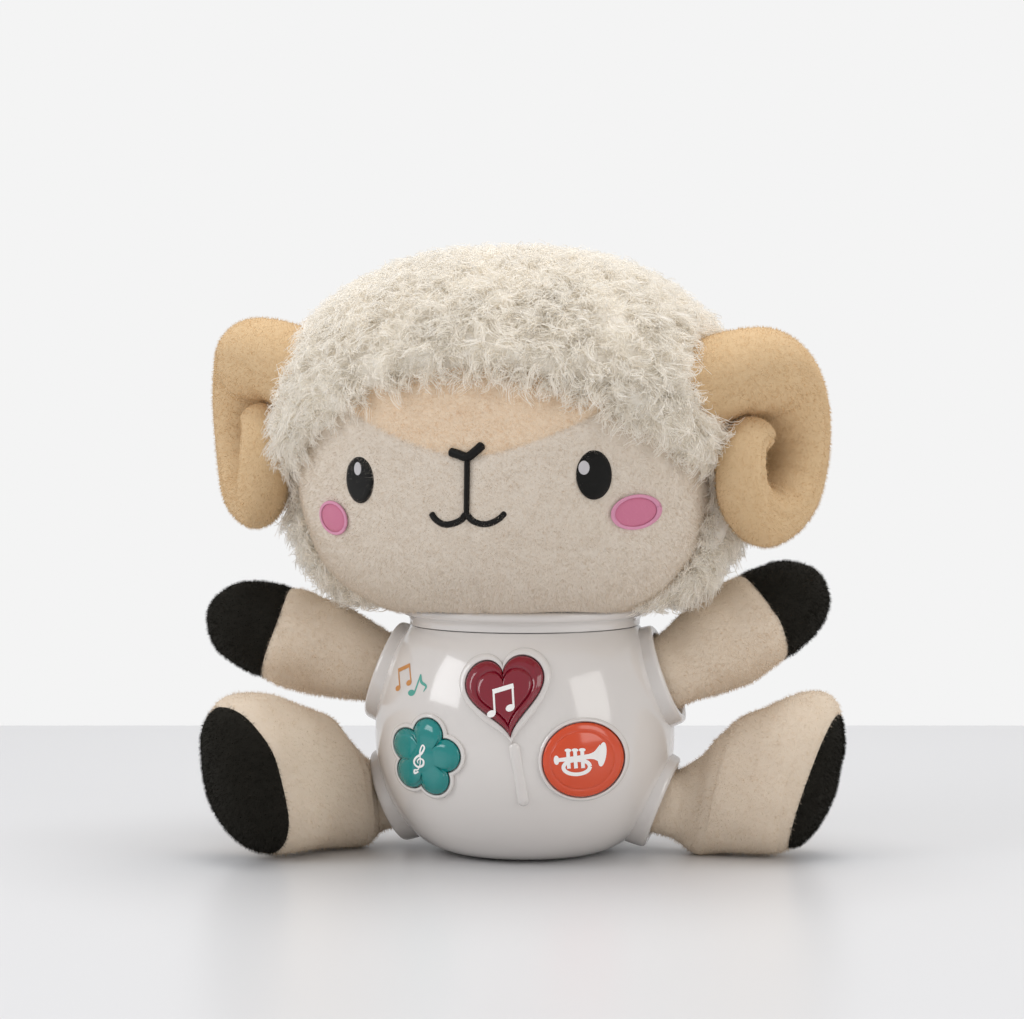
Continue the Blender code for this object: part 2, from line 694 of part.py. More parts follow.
def make_power_switch():
    back = SWITCH_FACE - SWITCH_THICK
    face = SWITCH_FACE
    ears = box((-SWITCH_EAR, face - SWITCH_EAR_THICK, SLIDER_HEIGHT - SWITCH_EAR_TALL / 2),
               (SWITCH_EAR, face, SLIDER_HEIGHT + SWITCH_EAR_TALL / 2))
    body = piece("power_switch_body", ears, finish("power_switch_body", (0.4, 0.4, 0.42), 0.4, 1.0), smooth=0)
    can = box((-SWITCH_HALF, back, SLIDER_HEIGHT - SWITCH_EAR_TALL / 2),
              (SWITCH_HALF, face - SWITCH_EAR_THICK / 2, SLIDER_HEIGHT + SWITCH_EAR_TALL / 2))
    combine(body, "UNION", cutter("switch_can", can))
    left = -SLIDER_TRAVEL / 2
    surface = on_bowl(0, SLIDER_HEIGHT, 0, side=1).y
    low, high = SLIDER_HEIGHT - SLIDER_TALL / 2, SLIDER_HEIGHT + SLIDER_TALL / 2
    knob = box((left - SLIDER_HALF, face + TOUCH_GAP, low), (left + SLIDER_HALF, surface + SLIDER_PROUD, high))
    axis = axis_empty("power_switch_axis", (left, surface, SLIDER_HEIGHT))
    piece("power_switch_knob", knob, finish("power_switch_knob", (0.03, 0.03, 0.03), 0.4), axis, smooth=0)


def make_front_shell():
    shell = shell_blank("front_shell", -1)
    wide = BOWL_RADIUS + OVERRUN
    combine(shell, "UNION", posts("front_posts", SHELL_POST_RADIUS, post_places(), -wide, -PARTING_GAP))
    board_post = BOARD_FRONT - TOUCH_GAP
    combine(shell, "UNION", posts("board_posts", BOARD_POST_RADIUS, BOARD_POST_PLACES, -wide, board_post))
    for name, (outline, place, border, _colour) in BUTTONS.items():
        layers = [(1, border, -SHELL_WALL / 2, None), (1, border, BEZEL_PROUD - BEZEL_EDGE, None),
                  (1, border - BEZEL_EDGE, BEZEL_PROUD, None), (INNER_RING_SHARE, 0, BEZEL_PROUD, None),
                  (0, 0, BEZEL_PROUD, None)]
        combine(shell, "UNION", cutter(name + "_bezel", slab(outline, place, layers)))
    layers = [(1, 0, -SHELL_WALL / 2, None), (1, 0, STICK_PROUD / 2, None), (INNER_RING_SHARE, 0, STICK_PROUD, None)]
    combine(shell, "UNION", cutter("heart_stick", slab(stick, STICK_PLACE, layers)))
    for name, (outline, place, _border, _colour) in BUTTONS.items():
        hole = prism(outline, place, BUTTON_CLEARANCE, -wide, BOARD_FRONT - OVERRUN / 4)
        combine(shell, "DIFFERENCE", cutter(name + "_opening", hole))
    pilots = [across(SCREW_SHAFT + SCREW_CLEARANCE, place, -SCREW_LONG, 0) for place in post_places()]
    combine(shell, "DIFFERENCE", cutter("front_pilots", merged(*pilots)))
    deep = board_post - BOARD_SCREW_LONG
    pilots = [across(BOARD_SCREW_SHAFT + SCREW_CLEARANCE, place, deep, BOARD_FRONT) for place in BOARD_POST_PLACES]
    combine(shell, "DIFFERENCE", cutter("board_pilots", merged(*pilots)))
    combine(shell, "DIFFERENCE", cutter("front_grille", grille(-1)))
    combine(shell, "UNION", cutter("centre_pad", rod(CENTRE_PAD_RADIUS, 0, FOOT_RECESS + SHELL_WALL / 2)))


GRILLE_HOLE = 0.0011
GRILLE_RINGS = {0.0060: 4, 0.0115: 8}
GRILLE_SIDES = 6
CENTRE_PAD_RADIUS = 0.0032


def grille(side):
    """Sound holes through the base, in one half of it."""
    holes = []
    for radius, count in GRILLE_RINGS.items():
        for i in range(count // 2):
            turn = math.pi * (i + 0.5) / (count / 2)
            place = (radius * math.cos(turn), side * radius * math.sin(turn), 0)
            holes.append(moved(rod(GRILLE_HOLE, -OVERRUN, FOOT_RECESS + SHELL_WALL + TOUCH_GAP, GRILLE_SIDES),
                               Matrix.Translation(Vector(place))))
    return merged(*holes)


def make_back_shell():
    shell = shell_blank("back_shell", 1)
    wide = BOWL_RADIUS + OVERRUN
    combine(shell, "UNION", posts("back_posts", SHELL_POST_RADIUS, post_places(), PARTING_GAP, wide))
    ears = [(side * EAR_POST_OUT, SLIDER_HEIGHT) for side in (-1, 1)]
    combine(shell, "UNION", posts("switch_posts", EAR_POST_RADIUS, ears, SWITCH_FACE + TOUCH_GAP, wide))
    opening = slab(door_outline, DOOR_PLACE, [(1, DOOR_LIP, None, SWITCH_FACE - 2 * OVERRUN / 3),
                                              (1, DOOR_LIP, None, wide)])
    combine(shell, "DIFFERENCE", cutter("door_opening", opening))
    bores = [across(SCREW_SHAFT + SCREW_CLEARANCE, place, 0, wide) for place in post_places()]
    sinks = [across(SCREW_HEAD + SCREW_CLEARANCE, place, SCREW_SEAT, wide, 16) for place in post_places()]
    combine(shell, "DIFFERENCE", cutter("back_bores", merged(*bores)), cutter("back_sinks", merged(*sinks)))
    reach = SLIDER_TRAVEL / 2 + SLIDER_HALF + RUNNING_GAP
    low, high = SLIDER_HEIGHT - SLIDER_TALL / 2 - RUNNING_GAP, SLIDER_HEIGHT + SLIDER_TALL / 2 + RUNNING_GAP
    slot = box((-reach, SWITCH_FACE, low), (reach, wide, high))
    notch = rod(CENTRE_PAD_RADIUS + TOUCH_GAP, -OVERRUN, FOOT_RECESS + SHELL_WALL + OVERRUN)
    combine(shell, "DIFFERENCE", cutter("pad_notch", notch))
    combine(shell, "DIFFERENCE", cutter("slider_slot", slot), cutter("back_grille", grille(1)))


def screw(place, seat, head, head_tall, shaft, long):
    """A screw along Y whose head rests on a seat, tip towards the front."""
    tip = seat - long
    profile = [(0, tip), (shaft / 2, tip), (shaft, tip + shaft), (shaft, seat), (head, seat),
               (head, seat + head_tall), (0, seat + head_tall)]
    return moved(lathe(profile, 10), along((place[0], 0, place[1]), (0, 1, 0)))


def make_screws():
    shell = (SCREW_SEAT + TOUCH_GAP, SCREW_HEAD, SCREW_HEAD_TALL, SCREW_SHAFT, SCREW_LONG)
    seat = BOARD_FRONT + BOARD_THICK + TOUCH_GAP
    board = (seat, BOARD_SCREW_HEAD, BOARD_SCREW_TALL, BOARD_SCREW_SHAFT, BOARD_SCREW_LONG)
    for kind, places, sizes in (("shell_screw", post_places(), shell), ("board_screw", BOARD_POST_PLACES, board)):
        for number, place in enumerate(places, 1):
            name = f"{kind}_{number}"
            piece(name, screw(place, *sizes), finish(name, (0.5, 0.5, 0.5), 0.3, 1.0))


# Circuit board with its parts, and the speaker on the floor of the bowl

BOARD_HALF_WIDE = 0.032
BOARD_LOW = 0.0235
BOARD_HIGH = 0.0700
LED_RADIUS = 0.0025
LED_LONG = 0.0075
LED_OFFSET = (0.0075, 0.0045)
CHIP_SIZE = 0.011
CHIP_THICK = 0.0020
CHIP_PLACE = (0.012, 0.045)
SPEAKER_RADIUS = 0.0145
SPEAKER_RIM_TALL = 0.0016
SPEAKER_RIM_WIDE = 0.0020
BASKET_RADIUS = 0.0095
BASKET_TALL = 0.0046
MAGNET_RADIUS = 0.0080
MAGNET_TALL = 0.0040
CONE_THICK = 0.0006
LEAD_RADIUS = 0.0009


def make_electronics():
    back = BOARD_FRONT + BOARD_THICK
    board = piece("circuit_board", box((-BOARD_HALF_WIDE, BOARD_FRONT, BOARD_LOW), (BOARD_HALF_WIDE, back, BOARD_HIGH)),
                  finish("circuit_board", (0.02, 0.16, 0.05), 0.5), smooth=0)
    holes = [across(BOARD_SCREW_SHAFT + SCREW_CLEARANCE, place, BOARD_FRONT - OVERRUN / 4, back + OVERRUN / 4, 10)
             for place in BOARD_POST_PLACES]
    combine(board, "DIFFERENCE", cutter("board_holes", merged(*holes)))
    seat = BOARD_FRONT - TOUCH_GAP
    half = SWITCH_SIZE / 2
    for button, (_outline, place, _border, _colour) in BUTTONS.items():
        profile = [(0, 0), (half * math.sqrt(2), 0), (half * math.sqrt(2), SWITCH_DEEP), (PLUNGER_RADIUS, SWITCH_DEEP),
                   (PLUNGER_RADIUS, SWITCH_DEEP + PLUNGER_LONG), (0, SWITCH_DEEP + PLUNGER_LONG)]
        frame = along((place[0], seat, place[1]), (0, -1, 0)) @ Matrix.Rotation(math.pi / 4, 4, "Z")
        name = button.replace("button", "tact_switch")
        piece(name, moved(lathe(profile, 4), frame), finish(name, (0.05, 0.05, 0.05), 0.4), smooth=0)
    led = [(0, 0), (LED_RADIUS, 0), (LED_RADIUS, LED_LONG - LED_RADIUS), (LED_RADIUS * math.sqrt(0.5),
           LED_LONG - LED_RADIUS * (1 - math.sqrt(0.5))), (0, LED_LONG)]
    place = (HEART_PLACE[0] + LED_OFFSET[0], seat, HEART_PLACE[1] + LED_OFFSET[1])
    piece("heart_led", moved(lathe(led, 14), along(place, (0, -1, 0))), finish("heart_led", (0.8, 0.05, 0.05), 0.1))
    x, z = CHIP_PLACE
    face = back + TOUCH_GAP
    chip = box((x - CHIP_SIZE / 2, face, z - CHIP_SIZE / 2), (x + CHIP_SIZE / 2, face + CHIP_THICK, z + CHIP_SIZE / 2))
    piece("control_chip", chip, finish("control_chip", (0.02, 0.02, 0.02), 0.4), smooth=0)


def make_speaker():
    floor = FOOT_RECESS + SHELL_WALL + TOUCH_GAP
    rim = floor + SPEAKER_RIM_TALL
    top = rim + BASKET_TALL
    neck = SPEAKER_RADIUS - SPEAKER_RIM_WIDE
    wall = SPEAKER_RIM_WIDE / 2
    basket = [(neck, floor), (SPEAKER_RADIUS, floor), (SPEAKER_RADIUS, rim), (neck + wall / 2, rim),
              (BASKET_RADIUS + wall, top), (MAGNET_RADIUS / 2, top), (MAGNET_RADIUS / 2, top - wall),
              (BASKET_RADIUS, top - wall), (neck - wall / 2, rim)]
    piece("speaker_frame", lathe(basket, 24, closed=True), finish("speaker_frame", (0.3, 0.3, 0.3), 0.4, 1.0))
    edge = neck - wall / 2 - TOUCH_GAP
    cone = [(0, top - wall - 2 * TOUCH_GAP - CONE_THICK), (BASKET_RADIUS / 2, top - wall - 2 * TOUCH_GAP - CONE_THICK),
            (edge, floor), (edge, floor + CONE_THICK), (BASKET_RADIUS / 2, top - wall - 2 * TOUCH_GAP),
            (0, top - wall - 2 * TOUCH_GAP)]
    piece("speaker_cone", lathe(cone, 24), finish("speaker_cone", (0.04, 0.04, 0.04), 0.8))
    magnet = rod(MAGNET_RADIUS, top + TOUCH_GAP, top + TOUCH_GAP + MAGNET_TALL, 20)
    piece("speaker_magnet", magnet, finish("speaker_magnet", (0.4, 0.4, 0.42), 0.3, 1.0))


def lead(route, start, end):
    """A thin wire over points chosen by hand, closed at its ends."""
    points = [start] + route + [end]
    rings = []
    for i, point in enumerate(points):
        before, after = points[max(i - 1, 0)], points[min(i + 1, len(points) - 1)]
        frame = along(point, Vector(after) - Vector(before))
        turns = [TURN * k / LEAD_SIDES for k in range(LEAD_SIDES)]
        ring = [Vector((LEAD_RADIUS * math.cos(a), LEAD_RADIUS * math.sin(a), 0)) for a in turns]
        rings.append([frame @ corner for corner in ring])
    return skin(rings)


LEAD_GAP = 0.0003
LEAD_SIDES = 6
LEAD_STEP = 0.0045
LEAD_SIDE = -0.020


def make_leads():
    """A twin lead from the battery box, and one from the speaker, to the back of the board."""
    board = BOARD_FRONT + BOARD_THICK + LEAD_GAP
    x = LEAD_SIDE
    route = [(x, BOX_FRONT - LEAD_STEP, BOX_MIDDLE), (x, 0, BOX_MIDDLE + LEAD_STEP / 2),
             (x, board + LEAD_STEP, BOX_MIDDLE)]
    power = lead(route, (x, BOX_FRONT - LEAD_GAP, BOX_MIDDLE), (x, board, BOX_MIDDLE))
    piece("battery_lead", power, finish("battery_lead", (0.5, 0.02, 0.02), 0.5))
    x = BASKET_RADIUS / 2
    low = SPEAKER_LEAD_HEIGHT
    start = (x, -MAGNET_RADIUS / 2, low)
    route = [(x, -MAGNET_RADIUS / 2, low + LEAD_STEP), (x, board + LEAD_STEP, BOARD_LOW + LEAD_STEP)]
    sound = lead(route, start, (x, board, BOARD_LOW + LEAD_STEP))
    piece("speaker_lead", sound, finish("speaker_lead", (0.02, 0.02, 0.02), 0.5))


SPEAKER_LEAD_HEIGHT = FOOT_RECESS + SHELL_WALL + SPEAKER_RIM_TALL + BASKET_TALL + MAGNET_TALL + 4 * TOUCH_GAP

# Head: a stuffed core, sewn face panels, and a thick fleece hood

FACE_POWERS = (2.2, 2.8, 2.3)
FLEECE_POWERS = (2.3, 3.0, 2.3)
HEAD_COLUMNS = 26
HEAD_ROWS = 12
HAIRLINE_TOP = 0.1715
HAIRLINE_DROP = 0.024
HAIRLINE_HALF = 0.064
HAIRLINE_END = 0.074
HAIRLINE_POWER = 2.2
SEAM_LOW = 0.1435
SEAM_RISE = 0.017
SEAM_HALF = 0.047
SEAM_POWER = 1.6
BROW_REACH_SHARE = 1.3
FACE_BACK = -0.019
OUTLINE_STEPS = 12
HEAD_FRAME = Matrix.Rotation(HEAD_TURN, 4, "Z")


def egg(wide, deep, up, down, powers, grow=0.0):
    """A rounded form about the head's centre: powers give its squareness above, below and in plan."""
    rings = []
    for i in range(HEAD_ROWS + 1):
        share = math.sin(math.pi * (i / HEAD_ROWS - 0.5))
        tall, power = (up, powers[0]) if share > 0 else (down, powers[1])
        height = HEAD_HEIGHT + share * (tall + grow)
        if i in (0, HEAD_ROWS):
            rings.append([Vector((HEAD_SIDE, HEAD_FORWARD, height))])
            continue
        level = (1 - abs(share) ** power) ** (1 / power)
        ring = []
        for k in range(HEAD_COLUMNS):
            cos, sin = math.cos(TURN * k / HEAD_COLUMNS), math.sin(TURN * k / HEAD_COLUMNS)
            x = math.copysign(abs(cos) ** (2 / powers[2]), cos) * (wide + grow) * level
            y = math.copysign(abs(sin) ** (2 / powers[2]), sin) * (deep + grow) * level
            ring.append(Vector((HEAD_SIDE + x, HEAD_FORWARD + y, height)))
        rings.append(ring)
    return moved(skin(rings), HEAD_FRAME)


def face_egg(grow=0.0):
    return egg(FACE_HALF_WIDTH, FACE_HALF_DEPTH, FACE_TALL_ABOVE, FACE_TALL_BELOW, FACE_POWERS, grow)


def on_face(x, z, grow):
    """A point on the face, x from its middle, grow outside the plush."""
    tall, power = (FACE_TALL_ABOVE, FACE_POWERS[0]) if z > HEAD_HEIGHT else (FACE_TALL_BELOW, FACE_POWERS[1])
    share = min(abs(z - HEAD_HEIGHT) / (tall + grow), 1)
    level = (1 - share ** power) ** (1 / power)
    plan = level ** FACE_POWERS[2] - abs(x / (FACE_HALF_WIDTH + grow)) ** FACE_POWERS[2]
    depth = (FACE_HALF_DEPTH + grow) * max(plan, 0) ** (1 / FACE_POWERS[2])
    return HEAD_FRAME @ Vector((HEAD_SIDE + x, HEAD_FORWARD - depth, z))


def hairline(x):
    return HAIRLINE_TOP - HAIRLINE_DROP * abs(x / HAIRLINE_HALF) ** HAIRLINE_POWER


def brow_seam(x):
    return SEAM_LOW + SEAM_RISE * abs(x / SEAM_HALF) ** SEAM_POWER


def head_prism(points, back):
    """A prism through the front of the head over points given from its middle."""
    far = -FLEECE_HALF_DEPTH - OVERRUN
    rings = [[Vector((HEAD_SIDE + x, y, z)) for x, z in points] for y in (far + HEAD_FORWARD, back)]
    return moved(skin(rings), HEAD_FRAME)


def face_points(grow):
    """The face's outline from the front: hairline above, open below."""
    wide = FLEECE_HALF_WIDTH + OVERRUN
    low = HEAD_HEIGHT - FLEECE_TALL_BELOW - OVERRUN
    end = hairline(HAIRLINE_END) + grow
    xs = [HAIRLINE_END * (2 * i / OUTLINE_STEPS - 1) for i in range(OUTLINE_STEPS + 1)]
    points = [(-wide, low), (-wide, end)] + [(x, hairline(x) + grow) for x in xs]
    return points + [(wide, end), (wide, low)]


def brow_points(grow):
    """The forehead panel's outline from the front, between the seam and above the hairline."""
    end = SEAM_HALF * BROW_REACH_SHARE
    xs = [end * (2 * i / OUTLINE_STEPS - 1) for i in range(OUTLINE_STEPS + 1)]
    top = HEAD_HEIGHT + FACE_TALL_ABOVE
    return [(x, brow_seam(x) + grow) for x in xs] + [(end, top), (-end, top)]


def neck_cuts(name):
    """What the neck ring and the plug take out of the head's underside."""
    ring = rod(RING_RADIUS + RUNNING_GAP, SHOULDER_HEIGHT - OVERRUN, RING_TOP + TOUCH_GAP, RING_SIDES)
    plug = rod(RING_LIP, RING_TOP - OVERRUN, PLUG_TOP + TOUCH_GAP, RING_SIDES)
    return cutter(name + "_ring_cut", ring), cutter(name + "_plug_cut", plug)


def make_head():
    inner = face_egg(-PLUSH_SKIN - TOUCH_GAP)
    stuffing = piece("head_stuffing", inner, finish("head_stuffing", (0.85, 0.85, 0.83), 0.9), HEAD_AXIS)
    combine(stuffing, "DIFFERENCE", *neck_cuts("head_stuffing"))
    core = cutter("head_core", face_egg(-PLUSH_SKIN))
    plush = (0.68, 0.59, 0.50)
    inside = cutter("face_outline", head_prism(face_points(-TOUCH_GAP), FACE_BACK))
    brow_hole = cutter("brow_hole", head_prism(brow_points(-TOUCH_GAP / 2), FACE_BACK + OVERRUN))
    wide, top = FLEECE_HALF_WIDTH + OVERRUN, HEAD_HEIGHT + FLEECE_TALL_ABOVE
    for side, name in ((-1, "face_panel_left"), (1, "face_panel_right")):
        panel = piece(name, face_egg(), finish(name, plush, 0.9), HEAD_AXIS)
        xs = sorted((HEAD_SIDE + side * TOUCH_GAP / 2, side * wide))
        half = moved(box((xs[0], -wide, 0), (xs[1], wide, top)), HEAD_FRAME)
        combine(panel, "DIFFERENCE", core)
        combine(panel, "INTERSECT", inside, cutter(name + "_half", half))
        combine(panel, "DIFFERENCE", brow_hole, *neck_cuts(name))
    brow = piece("forehead_panel", face_egg(), finish("forehead_panel", (0.72, 0.56, 0.38), 0.9), HEAD_AXIS)
    combine(brow, "DIFFERENCE", core)
    combine(brow, "INTERSECT", inside, cutter("brow_outline", head_prism(brow_points(TOUCH_GAP / 2), FACE_BACK)))
    fleece = egg(FLEECE_HALF_WIDTH, FLEECE_HALF_DEPTH, FLEECE_TALL_ABOVE, FLEECE_TALL_BELOW, FLEECE_POWERS)
    hood = piece("fleece_hood", fleece, finish("fleece_hood", (0.82, 0.78, 0.70), 1.0), HEAD_AXIS)
    combine(hood, "DIFFERENCE", core, cutter("face_hole", head_prism(face_points(0), FACE_BACK + TOUCH_GAP)))
    combine(hood, "DIFFERENCE", *neck_cuts("fleece_hood"))
    for side in (-1, 1):
        combine(hood, "DIFFERENCE", cutter(f"horn_dent_{side}", horn_tube(side, HORN_DENT)))


# Horns: stuffed spiral tubes that taper, sewn to the sides of the head

HORN_OUT = {-1: 0.0938, 1: 0.0907}
HORN_BACK = -0.0047
HORN_HEIGHT = {-1: 0.1492, 1: 0.1448}
HORN_TOE = {-1: math.radians(27.5), 1: math.radians(18)}
HORN_START = 0.0278
HORN_END = 0.0065
HORN_ROOT = 0.0150
HORN_TIP = 0.0068
HORN_TURN = math.radians(320)
HORN_STEPS = 16
HORN_SIDES = 10
HORN_DENT = 0.0009
HORN_ROOT_STEPS = 3
HORN_ROOT_IN = 0.007
HORN_ROOT_POWER = 1.2
HORN_CLOSING_POWER = 2.5
HORN_TAPER_POWER = 0.9
HORN_CAP_SHARES = ((0.80, 0.55), (0.42, 0.90))
NEAR_STEP = 0.1


def horn_frame(side):
    """Spiral plane: first axis back, second up, third out of the head."""
    toe = HORN_TOE[side]
    out = Vector((side * math.cos(toe), -math.sin(toe), 0))
    back = Vector((side * math.sin(toe), math.cos(toe), 0))
    place = Vector((HEAD_SIDE + side * HORN_OUT[side], HEAD_FORWARD + HORN_BACK, HORN_HEIGHT[side]))
    frame = Matrix((back, Vector((0, 0, 1)), out)).transposed().to_4x4()
    return Matrix.Translation(place) @ frame


def horn_centre(step):
    """Centre line of the horn: steps below zero are its root, bending into the head."""
    share = max(step, 0) / HORN_STEPS
    turn = HORN_TURN * step / HORN_STEPS
    radius = HORN_START - (HORN_START - HORN_END) * share ** HORN_CLOSING_POWER
    dip = HORN_ROOT_IN * (-step) ** HORN_ROOT_POWER if step < 0 else 0
    return Vector((radius * math.sin(turn), radius * math.cos(turn), -dip)), share


def horn_tube(side, grow=0.0):
    rings = []
    for step in range(-HORN_ROOT_STEPS, HORN_STEPS + 1):
        centre, share = horn_centre(step)
        ahead = horn_centre(step + NEAR_STEP)[0] - horn_centre(step - NEAR_STEP)[0]
        radius = HORN_ROOT - (HORN_ROOT - HORN_TIP) * share ** HORN_TAPER_POWER + grow
        level = ahead.normalized()
        out = Vector((0, 0, 1))
        out = (out - level * out.dot(level)).normalized()
        inward = level.cross(out)
        if not rings:
            centre = centre - grow * level
        corners = [TURN * k / HORN_SIDES for k in range(HORN_SIDES)]
        rings.append([centre + radius * (math.cos(a) * inward + math.sin(a) * out) for a in corners])
    for share, reach in HORN_CAP_SHARES:
        middle = sum(rings[HORN_ROOT_STEPS + HORN_STEPS], Vector()) / HORN_SIDES
        rim = rings[HORN_ROOT_STEPS + HORN_STEPS]
        rings.append([middle + share * (corner - middle) + reach * (HORN_TIP + grow) * level for corner in rim])
    rings.append([middle + (HORN_TIP + grow) * level])
    return moved(split_quads(skin(rings)), HEAD_FRAME @ horn_frame(side))


def make_horns():
    head = cutter("horn_seat", face_egg(TOUCH_GAP))
    for side, name in ((-1, "horn_left"), (1, "horn_right")):
        horn = piece(name, horn_tube(side), finish(name, (0.60, 0.42, 0.22), 0.9), HEAD_AXIS)
        combine(horn, "DIFFERENCE", head)


# Embroidery on the face: thin satin pieces over the plush

THREAD = 0.0008
THREAD_EDGE = 0.0003
EYES = {"left": (-0.0400, 0.1354), "right": (0.0418, 0.1374)}
EYE_WIDE = 0.0058
EYE_TALL = 0.0082
CHEEKS = {"left": (-0.0525, 0.1215), "right": (0.0545, 0.1245)}
CHEEK_WIDE = 0.0078
CHEEK_TALL = 0.0060
MOUTH_LINE = 0.0022
NOSE_LINE = 0.0027
NOSE_TOP = 0.1435
NOSE_HALF = 0.0062
NOSE_RISE = 0.0035
LIP_HEIGHT = 0.1215
LIP_HALF = 0.0066
LIP_DROP = 0.0040
LIP_STEPS = 8
OVAL_POINTS = 14


def sewn(points, low, high):
    """A thin plate over points on the face between two heights above the plush."""
    middle = sum((Vector(point) for point in points), Vector((0, 0))) / len(points)
    inner = [(middle + INNER_RING_SHARE * (Vector(point) - middle)) for point in points]
    rings = [[on_face(*middle, low)], [on_face(*p, low) for p in inner], [on_face(*p, low) for p in points],
             [on_face(*p, high) for p in points], [on_face(*p, high) for p in inner], [on_face(*middle, high)]]
    return skin(rings)


def oval(middle, wide, tall):
    turns = [TURN * i / OVAL_POINTS for i in range(OVAL_POINTS)]
    return [(middle[0] + wide * math.cos(a), middle[1] + tall * math.sin(a)) for a in turns]


def stitched_line(points, width):
    """A satin line over points on the face: four-sided, a little rounded on top."""
    rings = []
    for i, point in enumerate(points):
        ahead = Vector(points[min(i + 1, len(points) - 1)]) - Vector(points[max(i - 1, 0)])
        across_line = Vector((-ahead.y, ahead.x)).normalized() * width / 2
        left, right = Vector(point) + across_line, Vector(point) - across_line
        rings.append([on_face(*left, TOUCH_GAP), on_face(*left, THREAD), on_face(*point, THREAD + THREAD_EDGE),
                      on_face(*right, THREAD), on_face(*right, TOUCH_GAP)])
    return skin(rings)


def make_embroidery():
    black = (0.012, 0.011, 0.012)
    for side in ("left", "right"):
        name = f"eye_{side}"
        middle = EYES[side]
        plate = sewn(oval(middle, EYE_WIDE, EYE_TALL), TOUCH_GAP, THREAD)
        piece(name, plate, finish(name, black, 0.5), HEAD_AXIS)
        name = f"cheek_{side}"
        plate = sewn(oval(CHEEKS[side], CHEEK_WIDE, CHEEK_TALL), TOUCH_GAP, THREAD)
        piece(name, plate, finish(name, (0.72, 0.22, 0.50), 0.5), HEAD_AXIS)
    turns = [math.pi * (1 - i / LIP_STEPS) for i in range(LIP_STEPS + 1)]
    smile = []
    for side in (-1, 1):
        smile += [(side * LIP_HALF + LIP_HALF * math.cos(a), LIP_HEIGHT + LIP_DROP - LIP_DROP * math.sin(a))
                  for a in turns][(0 if side < 0 else 1):]
    nose = [(-NOSE_HALF, NOSE_TOP + NOSE_RISE), (-NOSE_HALF / 2, NOSE_TOP + NOSE_RISE / 4),
            (0, NOSE_TOP), (NOSE_HALF / 2, NOSE_TOP + NOSE_RISE / 3), (NOSE_HALF, NOSE_TOP + NOSE_RISE)]
    drop = (NOSE_TOP - LIP_HEIGHT - LIP_DROP) / 4
    stem = [(0, NOSE_TOP - NOSE_LINE / 2 - i * drop + TOUCH_GAP) for i in range(5)]
    bridge = cutter("mouth_stem", stitched_line(stem, MOUTH_LINE))
    top = cutter("nose_line", stitched_line(nose, NOSE_LINE))
    line = piece("mouth_embroidery", stitched_line(smile, MOUTH_LINE), finish("mouth_embroidery", black, 0.5), HEAD_AXIS)
    combine(line, "UNION", bridge, top)


# Limbs: stuffed, on a ball root that flexes in its socket

BALL_STEPS = 3
LIMB_SIDES = 16
CLAMP_GAP = 0.0003
CLAMP_HOLD = 0.0015
ARM_ROOT = 0.0131
ARM_LONG = 0.0675
ARM_RADIUS = 0.0177
ARM_FLAT_SHARE = 0.92
ARM_FLAT_FROM_SHARE = 0.2
ARM_SLEEVE_SHARES = [(0.09, 0.71), (0.165, 0.85), (0.30, 0.965), (0.45, 1.0), (0.60, 0.985)]
ARM_MITT_SHARES = [(0.60, 0.985), (0.70, 0.945), (0.80, 0.86), (0.89, 0.70), (0.96, 0.44), (1.0, 0.0)]
ARM_RAISE = {"left": math.radians(18), "right": math.radians(28)}
ARM_YAW = {"left": math.radians(185), "right": math.radians(27)}
LEG_ROOT = 0.0118
LEG_REACH = 0.0525
FOOT_HALF_WIDE = 0.0218
FOOT_HALF_TALL = 0.0292
LEG_SHARES = [
    (0.09, 0.0, -0.012, 0.54, 0.395), (0.19, 0.045, -0.012, 0.60, 0.47), (0.27, 0.108, 0.055, 0.72, 0.65),
    (0.34, 0.17, 0.120, 0.83, 0.805), (0.50, 0.355, 0.184, 0.95, 0.915), (0.64, 0.56, 0.223, 1.0, 0.985),
    (0.74, 0.70, 0.2285, 0.98, 0.99), (0.80, 0.80, 0.2257, 0.92, 0.94), (0.87, 0.90, 0.2165, 0.76, 0.79),
    (0.92, 0.968, 0.2073, 0.46, 0.50), (0.947, 1.0, 0.202, 0.0, 0.0),
]
SOLE_ROW = 6
SOLE_TILT = math.radians(19)
SOLE_SEAM_OUT = 0.0070
FOOT_LEAN_SHARE = 0.25
LEAN_ROWS = 4
SOLE_BLOCK = 0.06
LEG_STRETCH_SHARES = {"left": (1.0, 1.0), "right": (1.20, 0.35)}
LEG_SQUARENESS = 2.3
LEG_BOWL_GAP = 0.0006
LEG_OUTWARD = {"left": 0.0, "right": math.radians(15)}


def ball_root(radius, ahead=Vector((1, 0, 0))):
    """Rings of the half ball that sits in the socket, from its pole to its widest."""
    rings = [[Vector((-radius, 0, 0))]]
    for i in range(1, BALL_STEPS + 1):
        turn = math.pi / 2 * i / BALL_STEPS
        rings.append(limb_ring(Vector((-radius * math.cos(turn), 0, 0)), ahead, radius * math.sin(turn), radius * math.sin(turn)))
    return rings


def limb_ring(centre, ahead, wide, tall, power=2.0):
    """A rounded ring across a limb: wide level, tall upright."""
    if wide == 0:
        return [centre]
    level = Vector((-ahead.y, ahead.x, 0)).normalized()
    points = []
    for k in range(LIMB_SIDES):
        cos, sin = math.cos(TURN * k / LIMB_SIDES), math.sin(TURN * k / LIMB_SIDES)
        x = math.copysign(abs(cos) ** (2 / power), cos) * wide
        z = math.copysign(abs(sin) ** (2 / power), sin) * tall
        points.append(centre + x * level + Vector((0, 0, z)))
    return points


